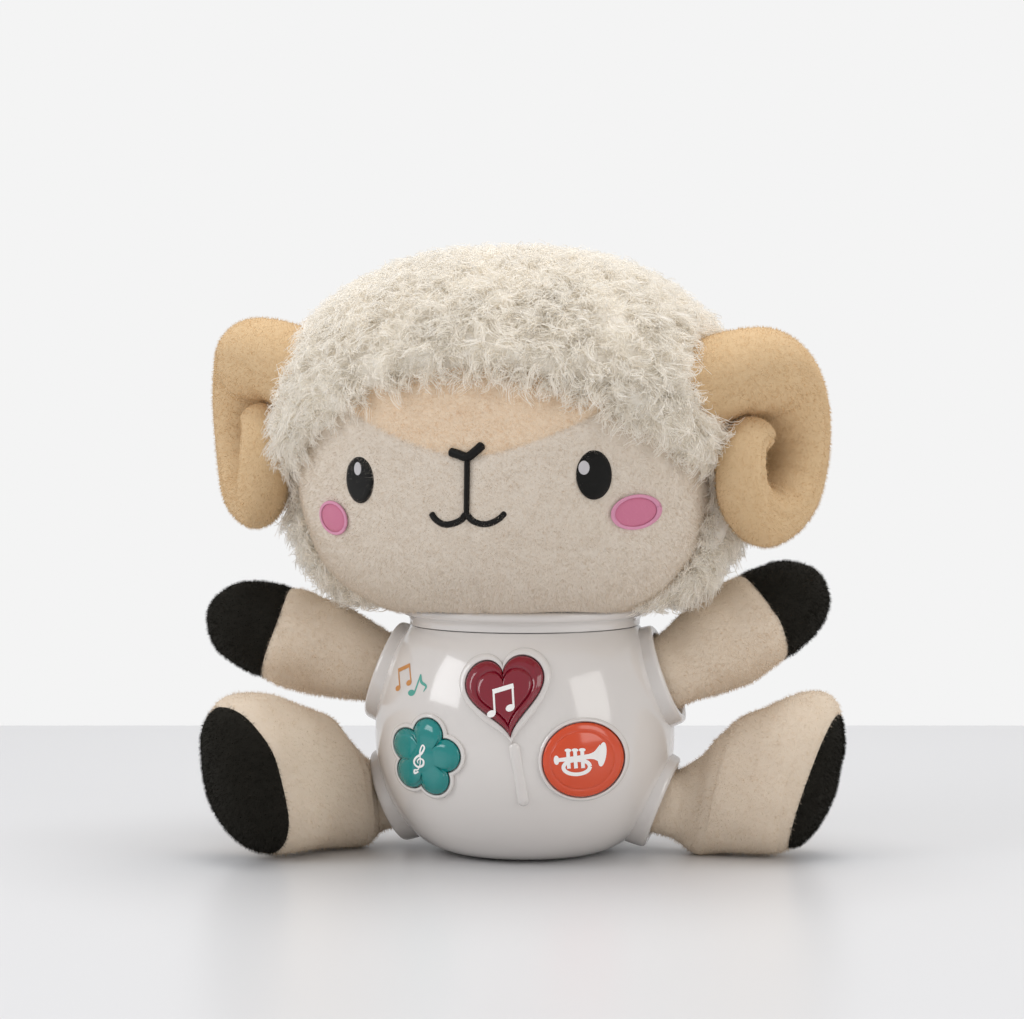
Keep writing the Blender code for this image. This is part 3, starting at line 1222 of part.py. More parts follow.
def arm_rings(shares, start=0.0):
    ahead = Vector((1, 0, 0))
    return [limb_ring(Vector((share * ARM_LONG + (start if i == 0 else 0), 0, 0)), ahead,
                      size * ARM_RADIUS * (ARM_FLAT_SHARE if share > ARM_FLAT_FROM_SHARE else 1), size * ARM_RADIUS)
            for i, (share, size) in enumerate(shares)]


def leg_place(side, row):
    """Middle of a row of the leg's table, and the way the leg runs there."""
    long, bent = LEG_STRETCH_SHARES[side]
    out, forward, up = LEG_SHARES[row][:3]
    before, after = LEG_SHARES[max(row - 1, 0)], LEG_SHARES[min(row + 1, len(LEG_SHARES) - 1)]
    ahead = Vector((long * (after[0] - before[0]), bent * (before[1] - after[1]), 0)).normalized()
    return LEG_REACH * Vector((long * out, -bent * forward, up)), ahead


def leg_shape(side):
    """The stuffed leg and foot in one, from the ball root to the end of the sole. The foot's rings lean out
    at their tops."""
    rings = ball_root(LEG_ROOT)
    for row, shares in enumerate(LEG_SHARES):
        centre, ahead = leg_place(side, row)
        ring = limb_ring(centre, ahead, shares[3] * FOOT_HALF_WIDE, shares[4] * FOOT_HALF_TALL, LEG_SQUARENESS)
        lean = FOOT_LEAN_SHARE * min((row + 1) / LEAN_ROWS, 1)
        rings.append([point + lean * (point.z - centre.z) * ahead for point in ring])
    return skin(rings)


def beyond_seam(side, gap=0.0):
    """A block beyond the sole's seam, whose plane leans out at its top."""
    centre, ahead = leg_place(side, SOLE_ROW)
    level = Vector((-ahead.y, ahead.x, 0))
    normal = math.cos(SOLE_TILT) * ahead - math.sin(SOLE_TILT) * Vector((0, 0, 1))
    frame = Matrix((normal, level, normal.cross(level))).transposed().to_4x4()
    block = box((gap, -SOLE_BLOCK, -SOLE_BLOCK), (SOLE_BLOCK, SOLE_BLOCK, SOLE_BLOCK))
    return moved(block, Matrix.Translation(centre + SOLE_SEAM_OUT * ahead) @ frame)


def clamp_ring(mouth):
    """The plastic ring at a limb's root, in the socket's groove."""
    outer = mouth + SOCKET_GROOVE_DEPTH - CLAMP_GAP
    inner = mouth - CLAMP_HOLD
    high, low = -SOCKET_LIP - CLAMP_GAP, -SOCKET_LIP - SOCKET_GROOVE + CLAMP_GAP
    return lathe([(inner, low), (outer, low), (outer, high), (inner, high)], SOCKET_SIDES, closed=True)


def make_limbs():
    plush, black = (0.68, 0.58, 0.48), (0.018, 0.015, 0.013)
    for key, (out, height, tilt, hand, mouth) in SOCKETS.items():
        limb, side = key.split("_")
        ring = moved(clamp_ring(mouth), socket_frame(out, height, tilt, hand))
        name = f"{limb}_ring_{side}"
        piece(name, ring, finish(name, (0.7, 0.7, 0.68), 0.4))
        pivot = Matrix.Translation(Vector((hand * out, 0, height)))
        axis = axis_empty(f"{limb}_{side}_axis", pivot.translation)
        if limb == "arm":
            frame = pivot @ Matrix.Rotation(ARM_YAW[side], 4, "Z") @ Matrix.Rotation(-ARM_RAISE[side], 4, "Y")
            sleeve = skin(ball_root(ARM_ROOT) + arm_rings(ARM_SLEEVE_SHARES))
            end = skin(arm_rings(ARM_MITT_SHARES, TOUCH_GAP))
            piece(f"arm_{side}", moved(sleeve, frame), finish(f"arm_{side}", plush, 0.9), axis)
            piece(f"mitt_{side}", moved(end, frame), finish(f"mitt_{side}", black, 0.95), axis)
            continue
        turn = Matrix.Rotation(hand * LEG_OUTWARD[side], 4, "Z")
        frame = pivot @ turn @ Matrix.Scale(hand, 4, Vector((1, 0, 0)))
        leg = piece(f"leg_{side}", moved(leg_shape(side), frame), finish(f"leg_{side}", plush, 0.9), axis)
        sole = piece(f"sole_{side}", moved(leg_shape(side), frame), finish(f"sole_{side}", black, 0.95), axis)
        combine(sole, "INTERSECT", cutter(f"sole_{side}_block", moved(beyond_seam(side, TOUCH_GAP), frame)))
        combine(leg, "DIFFERENCE", cutter(f"leg_{side}_block", moved(beyond_seam(side), frame)))
        bowl = lathe([(0, FOOT_RECESS - OVERRUN)] + bowl_curve(LEG_BOWL_GAP) + [(0, SHOULDER_HEIGHT)], BOWL_SIDES)
        combine(leg, "DIFFERENCE", cutter(f"leg_{side}_bowl", moved(bowl, pivot @ turn @ pivot.inverted())))


clear_scene()
HEAD_AXIS = axis_empty("head_axis", (0, 0, RING_TOP))
make_front_shell()
make_back_shell()
make_neck()
make_buttons()
make_battery_door()
make_battery_box()
make_batteries()
make_power_switch()
make_screws()
make_electronics()
make_speaker()
make_leads()
make_head()
make_horns()
make_embroidery()
make_limbs()
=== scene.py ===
"""Looks of a stuffed sheep with a hard sound box for a body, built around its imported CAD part.

Metres, +Z up. The toy faces -Y and its base's centre is the origin.
"""
import json
import math

import bmesh
import bpy
import numpy as np
from mathutils import Matrix, Vector


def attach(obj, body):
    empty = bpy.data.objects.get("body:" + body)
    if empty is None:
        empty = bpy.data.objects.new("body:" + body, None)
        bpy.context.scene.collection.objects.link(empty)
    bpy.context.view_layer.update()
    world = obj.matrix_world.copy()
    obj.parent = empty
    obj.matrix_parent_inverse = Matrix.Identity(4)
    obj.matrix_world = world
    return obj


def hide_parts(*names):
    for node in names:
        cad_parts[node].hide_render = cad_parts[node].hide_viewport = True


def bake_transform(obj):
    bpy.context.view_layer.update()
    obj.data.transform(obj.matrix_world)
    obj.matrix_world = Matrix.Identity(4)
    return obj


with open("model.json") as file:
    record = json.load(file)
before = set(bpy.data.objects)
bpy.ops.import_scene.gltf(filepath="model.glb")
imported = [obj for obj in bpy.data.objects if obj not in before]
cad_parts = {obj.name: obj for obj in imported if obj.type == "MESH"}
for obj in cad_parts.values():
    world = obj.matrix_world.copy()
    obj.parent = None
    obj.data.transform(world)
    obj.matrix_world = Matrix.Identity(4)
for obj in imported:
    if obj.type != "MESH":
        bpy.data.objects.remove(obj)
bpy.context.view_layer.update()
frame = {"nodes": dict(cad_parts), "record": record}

TURN = 2 * math.pi
MM = 0.001


# Helpers

def linear(code):
    """A six-digit sRGB colour as linear red, green, blue and alpha."""
    values = [int(code[i:i + 2], 16) / 255 for i in (0, 2, 4)]
    return [v / 12.92 if v <= 0.04045 else ((v + 0.055) / 1.055) ** 2.4 for v in values] + [1.0]


def add(tree, kind, x, y, **inputs):
    """Add a shader node at a place in the tree and set its inputs by name."""
    node = tree.nodes.new(kind)
    node.location = (x, y)
    for name, value in inputs.items():
        node.inputs[name.replace("_", " ")].default_value = value
    return node


def new_material(name, colour, roughness):
    """A Principled material; returns it with its tree and shader."""
    material = bpy.data.materials.new(name)
    material.use_nodes = True
    shader = material.node_tree.nodes["Principled BSDF"]
    shader.inputs["Base Color"].default_value = colour
    shader.inputs["Roughness"].default_value = roughness
    material.diffuse_color = colour
    return material, material.node_tree, shader


def gloss_plastic(name, code, roughness=0.12, coat=0.6):
    """Moulded plastic with a polished skin and very faint waviness."""
    material, tree, shader = new_material(name, linear(code), roughness)
    shader.inputs["Coat Weight"].default_value = coat
    shader.inputs["Coat Roughness"].default_value = 0.05
    place = add(tree, "ShaderNodeTexCoord", -800, 0)
    noise = add(tree, "ShaderNodeTexNoise", -600, 0, Scale=120.0, Detail=2.0)
    bump = add(tree, "ShaderNodeBump", -300, -200, Strength=0.02, Distance=0.0004)
    tree.links.new(place.outputs["Object"], noise.inputs["Vector"])
    tree.links.new(noise.outputs["Fac"], bump.inputs["Height"])
    tree.links.new(bump.outputs["Normal"], shader.inputs["Normal"])
    return material


def tinted(tree, colour, shade):
    """Mix a colour output towards another shade by the mesh's tint."""
    tint = add(tree, "ShaderNodeAttribute", -500, 500)
    tint.attribute_name = "tint"
    mix = add(tree, "ShaderNodeMix", -250, 300)
    mix.data_type = "RGBA"
    mix.inputs["B"].default_value = linear(shade)
    tree.links.new(tint.outputs["Fac"], mix.inputs["Factor"])
    tree.links.new(colour, mix.inputs["A"])
    return mix.outputs["Result"]


def plush(name, light, dark, pile_mm=0.7, sheen=0.5, bump_mm=0.5, shade=None):
    """Short-pile plush: two close shades in soft patches, fine fibre grain, and sheen at grazing angles."""
    material, tree, shader = new_material(name, linear(light), 0.9)
    shader.inputs["Specular IOR Level"].default_value = 0.15
    shader.inputs["Sheen Weight"].default_value = sheen
    shader.inputs["Sheen Roughness"].default_value = 0.45
    shader.inputs["Sheen Tint"].default_value = linear(light)
    place = add(tree, "ShaderNodeTexCoord", -1200, 0)
    patches = add(tree, "ShaderNodeTexNoise", -950, 200, Scale=90.0, Detail=4.0, Roughness=0.6)
    grain = add(tree, "ShaderNodeTexNoise", -950, -100, Scale=1.0 / (pile_mm * MM), Detail=3.0, Roughness=0.7)
    blend = add(tree, "ShaderNodeMix", -500, 200)
    blend.data_type = "RGBA"
    blend.inputs["A"].default_value = linear(dark)
    blend.inputs["B"].default_value = linear(light)
    mixed = add(tree, "ShaderNodeMix", -700, 0)
    mixed.inputs["Factor"].default_value = 0.5
    bump = add(tree, "ShaderNodeBump", -300, -200, Strength=0.6, Distance=bump_mm * MM)
    tree.links.new(place.outputs["Object"], patches.inputs["Vector"])
    tree.links.new(place.outputs["Object"], grain.inputs["Vector"])
    tree.links.new(patches.outputs["Fac"], mixed.inputs["A"])
    tree.links.new(grain.outputs["Fac"], mixed.inputs["B"])
    tree.links.new(mixed.outputs["Result"], blend.inputs["Factor"])
    colour = tinted(tree, blend.outputs["Result"], shade) if shade else blend.outputs["Result"]
    tree.links.new(colour, shader.inputs["Base Color"])
    tree.links.new(grain.outputs["Fac"], bump.inputs["Height"])
    tree.links.new(bump.outputs["Normal"], shader.inputs["Normal"])
    return material


def mesh_object(name, points, faces, material, smooth=True):
    """An object from a list of points and a list of faces."""
    mesh = bpy.data.meshes.new(name)
    mesh.from_pydata([tuple(p) for p in points], [], faces)
    mesh.materials.append(material)
    if smooth:
        mesh.shade_smooth()
    item = bpy.data.objects.new(name, mesh)
    bpy.context.scene.collection.objects.link(item)
    return item


def loft(name, rings, material, closed=False, caps=True):
    """A smooth surface over rings of equal counts; a ring of one point is a pole."""
    points, starts, faces = [], [], []
    for ring in rings:
        starts.append(len(points))
        points += list(ring)
    pairs = list(zip(range(len(rings)), range(1, len(rings))))
    if closed:
        pairs.append((len(rings) - 1, 0))
    for a, b in pairs:
        count = max(len(rings[a]), len(rings[b]))
        for i in range(count):
            j = (i + 1) % count
            corners = [starts[a] + i % len(rings[a]), starts[a] + j % len(rings[a]),
                       starts[b] + j % len(rings[b]), starts[b] + i % len(rings[b])]
            faces.append(list(dict.fromkeys(corners)))
    if caps and not closed:
        for end in (0, len(rings) - 1):
            if len(rings[end]) > 1:
                faces.append([starts[end] + i for i in range(len(rings[end]))])
    item = mesh_object(name, points, faces, material)
    outward(item)
    return item


def outward(item):
    """Turn every face of a closed mesh outwards."""
    shape = bmesh.new()
    shape.from_mesh(item.data)
    bmesh.ops.recalc_face_normals(shape, faces=shape.faces)
    shape.to_mesh(item.data)
    shape.free()


def lathe_rings(profile, sides):
    """Rings about Z over (radius, height) pairs."""
    turns = [TURN * i / sides for i in range(sides)]
    return [[Vector((0, 0, z))] if r == 0 else [Vector((r * math.cos(a), r * math.sin(a), z)) for a in turns]
            for r, z in profile]


def rounded(corners, radius, steps=4):
    """Points of a profile whose inner corners are rounded."""
    points = [Vector(corners[0])]
    for before, corner, after in zip(corners, corners[1:], corners[2:]):
        corner = Vector(corner)
        start, end = (Vector(before) - corner), (Vector(after) - corner)
        reach = min(radius, start.length * 0.45, end.length * 0.45)
        p0, p2 = corner + start.normalized() * reach, corner + end.normalized() * reach
        for i in range(steps + 1):
            t = i / steps
            points.append(p0 * (1 - t) ** 2 + corner * 2 * t * (1 - t) + p2 * t ** 2)
    points.append(Vector(corners[-1]))
    return [tuple(p) for p in points]


def along(origin, direction):
    """A frame whose Z runs along a direction from an origin."""
    turn = Vector(direction).to_track_quat("Z", "Y")
    return Matrix.Translation(Vector(origin)) @ turn.to_matrix().to_4x4()


def boolean(item, operation, *others):
    """Combine an object with others for good, then remove them."""
    bpy.ops.object.select_all(action="DESELECT")
    item.select_set(True)
    bpy.context.view_layer.objects.active = item
    for other in others:
        step = item.modifiers.new(operation, "BOOLEAN")
        step.operation = operation
        step.solver = "MANIFOLD"
        step.object = other
        bpy.ops.object.modifier_apply(modifier=step.name)
    for other in others:
        bpy.data.objects.remove(other, do_unlink=True)


def join(item, *others):
    """Put other objects' meshes into one object."""
    bpy.ops.object.select_all(action="DESELECT")
    for other in (item, *others):
        other.select_set(True)
    bpy.context.view_layer.objects.active = item
    bpy.ops.object.join()
    return item


def sharpen(item, degrees=35):
    item.data.set_sharp_from_angle(angle=math.radians(degrees))


def smooth_curve(rows, steps):
    """Points of a smooth curve through rows of numbers, with steps between each two."""
    rows = np.array(rows, dtype=float)
    padded = np.vstack([2 * rows[0] - rows[1], rows, 2 * rows[-1] - rows[-2]])
    out = []
    for i in range(1, len(padded) - 2):
        p0, p1, p2, p3 = padded[i - 1:i + 3]
        for k in range(steps):
            t = k / steps
            out.append(0.5 * (2 * p1 + (p2 - p0) * t + (2 * p0 - 5 * p1 + 4 * p2 - p3) * t ** 2
                              + (3 * p1 - p0 - 3 * p2 + p3) * t ** 3))
    out.append(rows[-1])
    return np.array(out)


def dressed(item, body, slot, *nodes):
    """An object that moves with a body and stands for CAD nodes; its slot is not used."""
    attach(item, body)
    if nodes:
        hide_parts(*nodes)
    return item


# The bowl's form: a round-bottomed pot on a ring foot, with sloping shoulders under the neck ring

BOWL_RADIUS, BOWL_EQUATOR, BASE_RADIUS = 0.054, 0.042, 0.0235
SHOULDER_HEIGHT, SHOULDER_RADIUS, SHOULDER_CENTRE = 0.0815, 0.041, 0.028
SHELL_WALL, FOOT_RECESS, FOOT_INNER = 0.0022, 0.0015, 0.0185
SHOULDER_REACH = ((SHOULDER_HEIGHT - BOWL_EQUATOR)
                  / math.sqrt(1 - ((SHOULDER_RADIUS - SHOULDER_CENTRE) / (BOWL_RADIUS - SHOULDER_CENTRE)) ** 2))


def bowl_radius(height, grow=0.0):
    if height < BOWL_EQUATOR:
        centre, wide, tall = BASE_RADIUS, BOWL_RADIUS - BASE_RADIUS, BOWL_EQUATOR
    else:
        centre, wide, tall = SHOULDER_CENTRE, BOWL_RADIUS - SHOULDER_CENTRE, SHOULDER_REACH
    share = (height - BOWL_EQUATOR) / tall
    flank = math.sqrt(max(1 - share ** 2, 0.01))
    return centre + wide * flank + grow * math.hypot(1, wide * share / (tall * flank))


def on_bowl(x, z, grow, side=-1):
    """A point on the bowl's front or back, grow outside its surface."""
    radius = bowl_radius(z, grow)
    return Vector((x, side * math.sqrt(max(radius ** 2 - x ** 2, 0)), z))


def bowl_profile(grow, low, steps=44):
    """Radius and height up the bowl's side, close-set near the base where it curves fast."""
    heights = [low + (SHOULDER_HEIGHT - low) * (i / steps) ** 1.35 for i in range(steps + 1)]
    return [(bowl_radius(z, grow), z) for z in heights]


BOWL_SIDES = 144
SOCKETS = {
    "right_arm": (1, 0.0523, 0.0647, 20, 0.0150),
    "left_arm": (-1, 0.0523, 0.0647, 20, 0.0150),
    "right_leg": (1, 0.0503, 0.0178, -22, 0.0140),
    "left_leg": (-1, 0.0503, 0.0178, -22, 0.0140),
}


def socket_frame(limb):
    hand, out, height, tilt, _mouth = SOCKETS[limb]
    tilt = math.radians(tilt)
    return along((hand * out, 0, height), (hand * math.cos(tilt), 0, math.sin(tilt)))


def socket_part(limb, profile, material, sides=72):
    rings = [[socket_frame(limb) @ p for p in ring] for ring in lathe_rings(profile, sides)]
    return loft(limb + "_socket", rings, material)


def block(low, high, material):
    """A rectangular block between two corners."""
    ring = [(low[0], low[1]), (high[0], low[1]), (high[0], high[1]), (low[0], high[1])]
    return loft("block", [[Vector((x, y, z)) for x, y in ring] for z in (low[2], high[2])], material)


def slab(name, outline, place, layers, material, side=-1):
    """A prism along Y over an outline: each layer is (grow, depth, flat), depth counted from the bowl's
    surface, or flat a plain Y."""
    rings = []
    for grow, depth, flat in layers:
        points = [(place[0] + x, place[1] + z) for x, z in outline(grow)]
        rings.append([Vector((x, flat, z)) if depth is None else on_bowl(x, z, depth, side) for x, z in points])
    return loft(name, rings, material)


# Outlines of the three buttons and of the stick under the heart

HEART_PLACE, FLOWER_PLACE, ROUND_PLACE = (0.0018, 0.0604), (-0.0276, 0.0387), (0.0277, 0.0389)


def heart(grow=0.0, count=96):
    """A plump heart leaning to the left, set outwards by grow."""
    turns = np.linspace(0, TURN, count, endpoint=False)
    x = 0.0134 * np.sin(turns) ** 3
    z = sum(w * np.cos((k + 1) * turns) for k, w in enumerate((12.5, -4.2, -1.6, -0.9)))
    z = 0.0265 * (z - (z.max() + z.min()) / 2) / (z.max() - z.min())
    points = np.stack([x, z], axis=1)
    points += grow * points / np.linalg.norm(points, axis=1, keepdims=True)
    tilt = math.radians(9)
    spin = np.array([[math.cos(tilt), -math.sin(tilt)], [math.sin(tilt), math.cos(tilt)]])
    return [tuple(p) for p in points @ spin.T]


PETAL_OUT, PETAL_RADIUS, PETAL_TURN = 0.0080, 0.0056, math.radians(81)


def flower(grow=0.0, count=100):
    """Five round petals."""
    sector, points = TURN / 5, []
    for i in range(count):
        turn = TURN * i / count
        off = (turn + sector / 2) % sector - sector / 2
        aside = PETAL_OUT * math.sin(off)
        reach = PETAL_OUT * math.cos(off) + math.sqrt(max((PETAL_RADIUS + grow) ** 2 - aside ** 2, 0))
        turn += PETAL_TURN
        points.append((reach * math.cos(turn), reach * math.sin(turn)))
    return points


def disc(grow=0.0, count=96):
    radius = 0.0129 + grow
    return [(radius * math.cos(TURN * i / count), radius * math.sin(TURN * i / count)) for i in range(count)]


def stick(grow=0.0, count=48):
    """A slot shape 22.3 mm long, leaning with its top to the left."""
    points, tilt = [], math.radians(8)
    for i in range(count):
        turn = TURN * (i + 0.5) / count
        x = (0.0019 + grow) * math.cos(turn)
        z = (0.0019 + grow) * math.sin(turn) + math.copysign(0.00925, math.sin(turn))
        points.append((x * math.cos(tilt) - z * math.sin(tilt), z * math.cos(tilt) + x * math.sin(tilt)))
    return points


BEZELS = {"heart": (heart, HEART_PLACE, 0.0028), "flower": (flower, FLOWER_PLACE, 0.0019),
          "round": (disc, ROUND_PLACE, 0.0017)}


# FRONT AND BACK SHELLS
# Two white moulded halves that meet at the sides, with a polished skin. Each limb's socket is a raised
# round boss, and each button sits in a raised rim that follows its shape.

white_plastic = gloss_plastic("white shell plastic", "DAD5D1", 0.14)


def make_shell(name, side):
    profile = [(0, FOOT_RECESS), (FOOT_INNER - 0.0005, FOOT_RECESS), (FOOT_INNER, FOOT_RECESS - 0.0004),
               (FOOT_INNER + 0.0003, 0.0003), (FOOT_INNER + 0.0008, 0)]
    outer = profile + [(BASE_RADIUS - 0.0008, 0)] + bowl_profile(0, 0.0004) + [(0, SHOULDER_HEIGHT)]
    shell = loft(name, lathe_rings(outer, BOWL_SIDES), white_plastic)
    for limb, (_hand, _out, _height, _tilt, mouth) in SOCKETS.items():
        face = mouth + 0.0034
        corners = [(0, -0.020), (face + 0.0014, -0.020), (face + 0.0003, -0.004), (face - 0.0002, 0),
                   (mouth - 0.002, 0)]
        boolean(shell, "UNION", socket_part(limb, rounded(corners, 0.0016) + [(0, 0)], white_plastic))
    floor = FOOT_RECESS + SHELL_WALL
    inner = [(0, floor), (bowl_radius(floor, -SHELL_WALL) - 0.001, floor)]
    inner += bowl_profile(-SHELL_WALL, floor + 0.0004) + [(0.0386, 0.105), (0, 0.105)]
    boolean(shell, "DIFFERENCE", loft("hollow", lathe_rings(inner, BOWL_SIDES), white_plastic))
    for limb, (_hand, _out, _height, _tilt, mouth) in SOCKETS.items():
        profile = [(0, -0.04), (mouth, -0.04), (mouth, -0.0012), (mouth + 0.0003, -0.0004),
                   (mouth + 0.0012, 0.0002), (mouth + 0.0014, 0.002), (0, 0.002)]
        boolean(shell, "DIFFERENCE", socket_part(limb, profile, white_plastic))
    wide = BOWL_RADIUS + 0.02
    reach = sorted((side * 0.00015, side * wide))
    half = block((-wide, reach[0], -0.02), (wide, reach[1], SHOULDER_HEIGHT + 0.02), white_plastic)
    boolean(shell, "INTERSECT", half)
    return shell


front_shell = make_shell("bowl_front", -1)
rims = []
for key, (outline, place, border) in BEZELS.items():
    hole = slab("hole", outline, place, [(0.0004, None, -0.08), (0.0004, None, -0.015)], white_plastic)
    boolean(front_shell, "DIFFERENCE", hole)
    outer_curve = [(border, -0.0004), (border, 0.0004), (border - 0.0002, 0.0009), (border - 0.0006, 0.0012)]
    inner_curve = [(0.0009, 0.0012), (0.0006, 0.0011), (0.0004, 0.0008), (0.0004, -0.0022)]
    curve = [(grow, depth, None) for grow, depth in outer_curve + inner_curve + outer_curve[:1]]
    rims.append(slab(key + "_rim", outline, place, curve, white_plastic))
stick_layers = [(0, -0.0004, None), (0, 0.0006, None), (-0.0003, 0.0010, None), (-0.0009, 0.0013, None),
                (-0.0016, 0.0014, None)]
rims.append(slab("stick", stick, (0.0065, 0.0342), stick_layers, white_plastic))
join(front_shell, *rims)
sharpen(front_shell)
dressed(front_shell, "sound_box", "shell_plastic", "front_shell")

back_shell = make_shell("bowl_back", 1)
door_half = (0.0509 / 2, (0.0331 + 0.0062) / 2)
door_place = (0.0, 0.03765 + 0.0031)


def door_outline(grow=0.0, count=7):
    """The battery door's rounded rectangle, its long edges divided so that they follow the bowl."""
    corner, points = 0.003 + grow, []
    for quarter, (sx, sz) in enumerate(((1, 1), (-1, 1), (-1, -1), (1, -1))):
        for i in range(count):
            turn = math.pi / 2 * (quarter + i / (count - 1))
            points.append((sx * (door_half[0] + grow - corner) + corner * math.cos(turn),
                           sz * (door_half[1] + grow - corner) + corner * math.sin(turn)))
    dense = []
    for (x0, z0), (x1, z1) in zip(points, points[1:] + points[:1]):
        parts = 14 if math.hypot(x1 - x0, z1 - z0) > 0.006 else 1
        dense += [(x0 + (x1 - x0) * i / parts, z0 + (z1 - z0) * i / parts) for i in range(parts)]
    return dense


def rod_along_y(radius, place, near, far, sides=32):
    frame_y = along((place[0], 0, place[1]), (0, 1, 0))
    rings = [[frame_y @ p for p in ring] for ring in lathe_rings([(radius, near), (radius, far)], sides)]
    return loft("rod", rings, white_plastic)


def grille_cutters(side):
    """Sound holes in one half of the base."""
    holes = []
    for radius, count in ((0.0060, 4), (0.0115, 8)):
        for i in range(count // 2):
            turn = math.pi * (i + 0.5) / (count / 2)
            x, y = radius * math.cos(turn), side * radius * math.sin(turn)
            rings = [[Vector((x, y, 0)) + p for p in ring]
                     for ring in lathe_rings([(0.0011, -0.01), (0.0011, 0.0045)], 20)]
            holes.append(loft("grille_hole", rings, white_plastic))
    return holes


door_layers = [(0.0014, None, 0.028), (0.0014, None, 0.09)]
door_hole = slab("door_hole", door_outline, door_place, door_layers, white_plastic, side=1)
boolean(back_shell, "DIFFERENCE", door_hole)
for place in ((0.0462, 0.0405), (-0.0462, 0.0405), (0.0240, 0.0145), (-0.0240, 0.0145)):
    boolean(back_shell, "DIFFERENCE", rod_along_y(0.0031, place, 0.009, 0.09))
boolean(back_shell, "DIFFERENCE", block((-0.0042, 0.03, 0.0663), (0.0042, 0.09, 0.0697), white_plastic))
boolean(back_shell, "DIFFERENCE", *grille_cutters(1))
boolean(front_shell, "DIFFERENCE", *grille_cutters(-1))
notch = loft("pad_notch", lathe_rings([(0.0035, -0.01), (0.0035, 0.01)], 40), white_plastic)
boolean(back_shell, "DIFFERENCE", notch)
pad_profile = [(0, 0), (0.0030, 0), (0.0032, 0.0002), (0.0032, 0.0030), (0, 0.0030)]
join(front_shell, loft("pad", lathe_rings(pad_profile, 40), white_plastic))
sharpen(back_shell)
dressed(back_shell, "sound_box", "shell_plastic", "back_shell")


# NECK RING
# A white moulded ring with a rounded lip that the head's cloth is held in. It closes the bowl's top.

ring_profile = [(0.0330, 0.0890), (0.0333, 0.0892), (0.0432, 0.0892), (0.0444, 0.0889), (0.0450, 0.0883),
                (0.0452, 0.0875), (0.0450, 0.0866), (0.0444, 0.0859), (0.0434, 0.0855), (0.0424, 0.0851),
                (0.0418, 0.0845), (0.0415, 0.0836), (0.0414, 0.0819), (0.0384, 0.0818), (0.0384, 0.0780),
                (0.0362, 0.0780), (0.0362, 0.0860), (0.0330, 0.0864)]
neck_ring = loft("neck_collar", lathe_rings(ring_profile, 128), white_plastic, closed=True)
sharpen(neck_ring)
dressed(neck_ring, "sound_box", "shell_plastic", "neck_ring")


# BUTTONS
# Three moulded push buttons: a clear crimson heart, a teal flower with domed petals, and an orange disc
# with a fine groove near its edge.

def button(name, outline, place, profile, relief, material, depth=-0.0075):
    """A button: profile is (grow, height) from its top edge down, relief(x, z) its top's height."""
    edge = outline(0)
    count = len(edge)
    points, faces = [], []
    shares = [0.0] + [((i + 1) / 22) ** 0.8 for i in range(22)]
    inset = outline(profile[0][0])
    for share in shares:
        ring = inset if share else [(0, 0)]
        points += [on_bowl(place[0] + share * x, place[1] + share * z,
                           profile[0][1] + relief(share * x, share * z, share)) for x, z in ring]
    for grow, height in profile[1:]:
        points += [on_bowl(place[0] + x, place[1] + z, height) for x, z in outline(grow)]
    points += [on_bowl(place[0] + x, place[1] + z, depth) for x, z in outline(profile[-1][0])]
    rows = len(shares) - 1 + len(profile)
    faces += [[0, 1 + i, 1 + (i + 1) % count] for i in range(count)]
    for row in range(rows - 1):
        a, b = 1 + row * count, 1 + (row + 1) * count
        faces += [[a + i, b + i, b + (i + 1) % count, a + (i + 1) % count] for i in range(count)]
    faces.append([1 + (rows - 1) * count + i for i in range(count)])
    item = mesh_object(name, points, faces, material)
    outward(item)
    sharpen(item, 40)
    return item


clear_red, tree, shader = new_material("crimson clear plastic", linear("860A24"), 0.06)
shader.inputs["Transmission Weight"].default_value = 0.10
shader.inputs["IOR"].default_value = 1.49
shader.inputs["Coat Weight"].default_value = 0.5
shader.inputs["Coat Roughness"].default_value = 0.03
shader.inputs["Subsurface Weight"].default_value = 0.10
shader.inputs["Subsurface Radius"].default_value = (0.006, 0.001, 0.001)
teal_plastic = gloss_plastic("teal plastic", "00827F", 0.14, 0.4)
orange_plastic = gloss_plastic("orange plastic", "D44514", 0.16, 0.4)

rounded_edge = [(-0.0009, 0.0019), (-0.0005, 0.00180), (-0.0002, 0.00155), (0, 0.0012), (0, -0.0030)]


def heart_relief(x, z, share):
    """A raised band round the edge, a dip inside it, and a flat crown."""
    dip = math.exp(-((share - 0.78) / 0.040) ** 2)
    return 0.0009 * (1 - share ** 4) - 0.00075 * dip + 0.0003 * math.exp(-((share - 0.92) / 0.05) ** 2)


def flower_relief(x, z, share):
    """A dome on each petal and one in the middle, with creases between."""
    heights = []
    for k in range(5):
        turn = PETAL_TURN + TURN * k / 5
        away = math.hypot(x - PETAL_OUT * math.cos(turn), z - PETAL_OUT * math.sin(turn))
        heights.append(0.0011 * math.sqrt(max(1 - (away / 0.0066) ** 2, 0)))
    middle = 0.0013 * math.sqrt(max(1 - (math.hypot(x, z) / 0.0060) ** 2, 0))
    return max(heights + [middle]) * (1 - share ** 12) + 0.0001


def round_relief(x, z, share):
    """A shallow dome with a groove near its edge."""
    return 0.0009 * (1 - share ** 2) - 0.00035 * math.exp(-((share - 0.86) / 0.022) ** 2)


buttons = {}
for key, relief, material, slot in (("heart", heart_relief, clear_red, "heart_plastic"),
                                    ("flower", flower_relief, teal_plastic, "flower_plastic"),
                                    ("round", round_relief, orange_plastic, "round_plastic")):
    outline, place, _border = BEZELS[key]
    buttons[key] = button(key + "_cap", outline, place, rounded_edge, relief, material)
    dressed(buttons[key], key + "_key", slot, key + "_button")


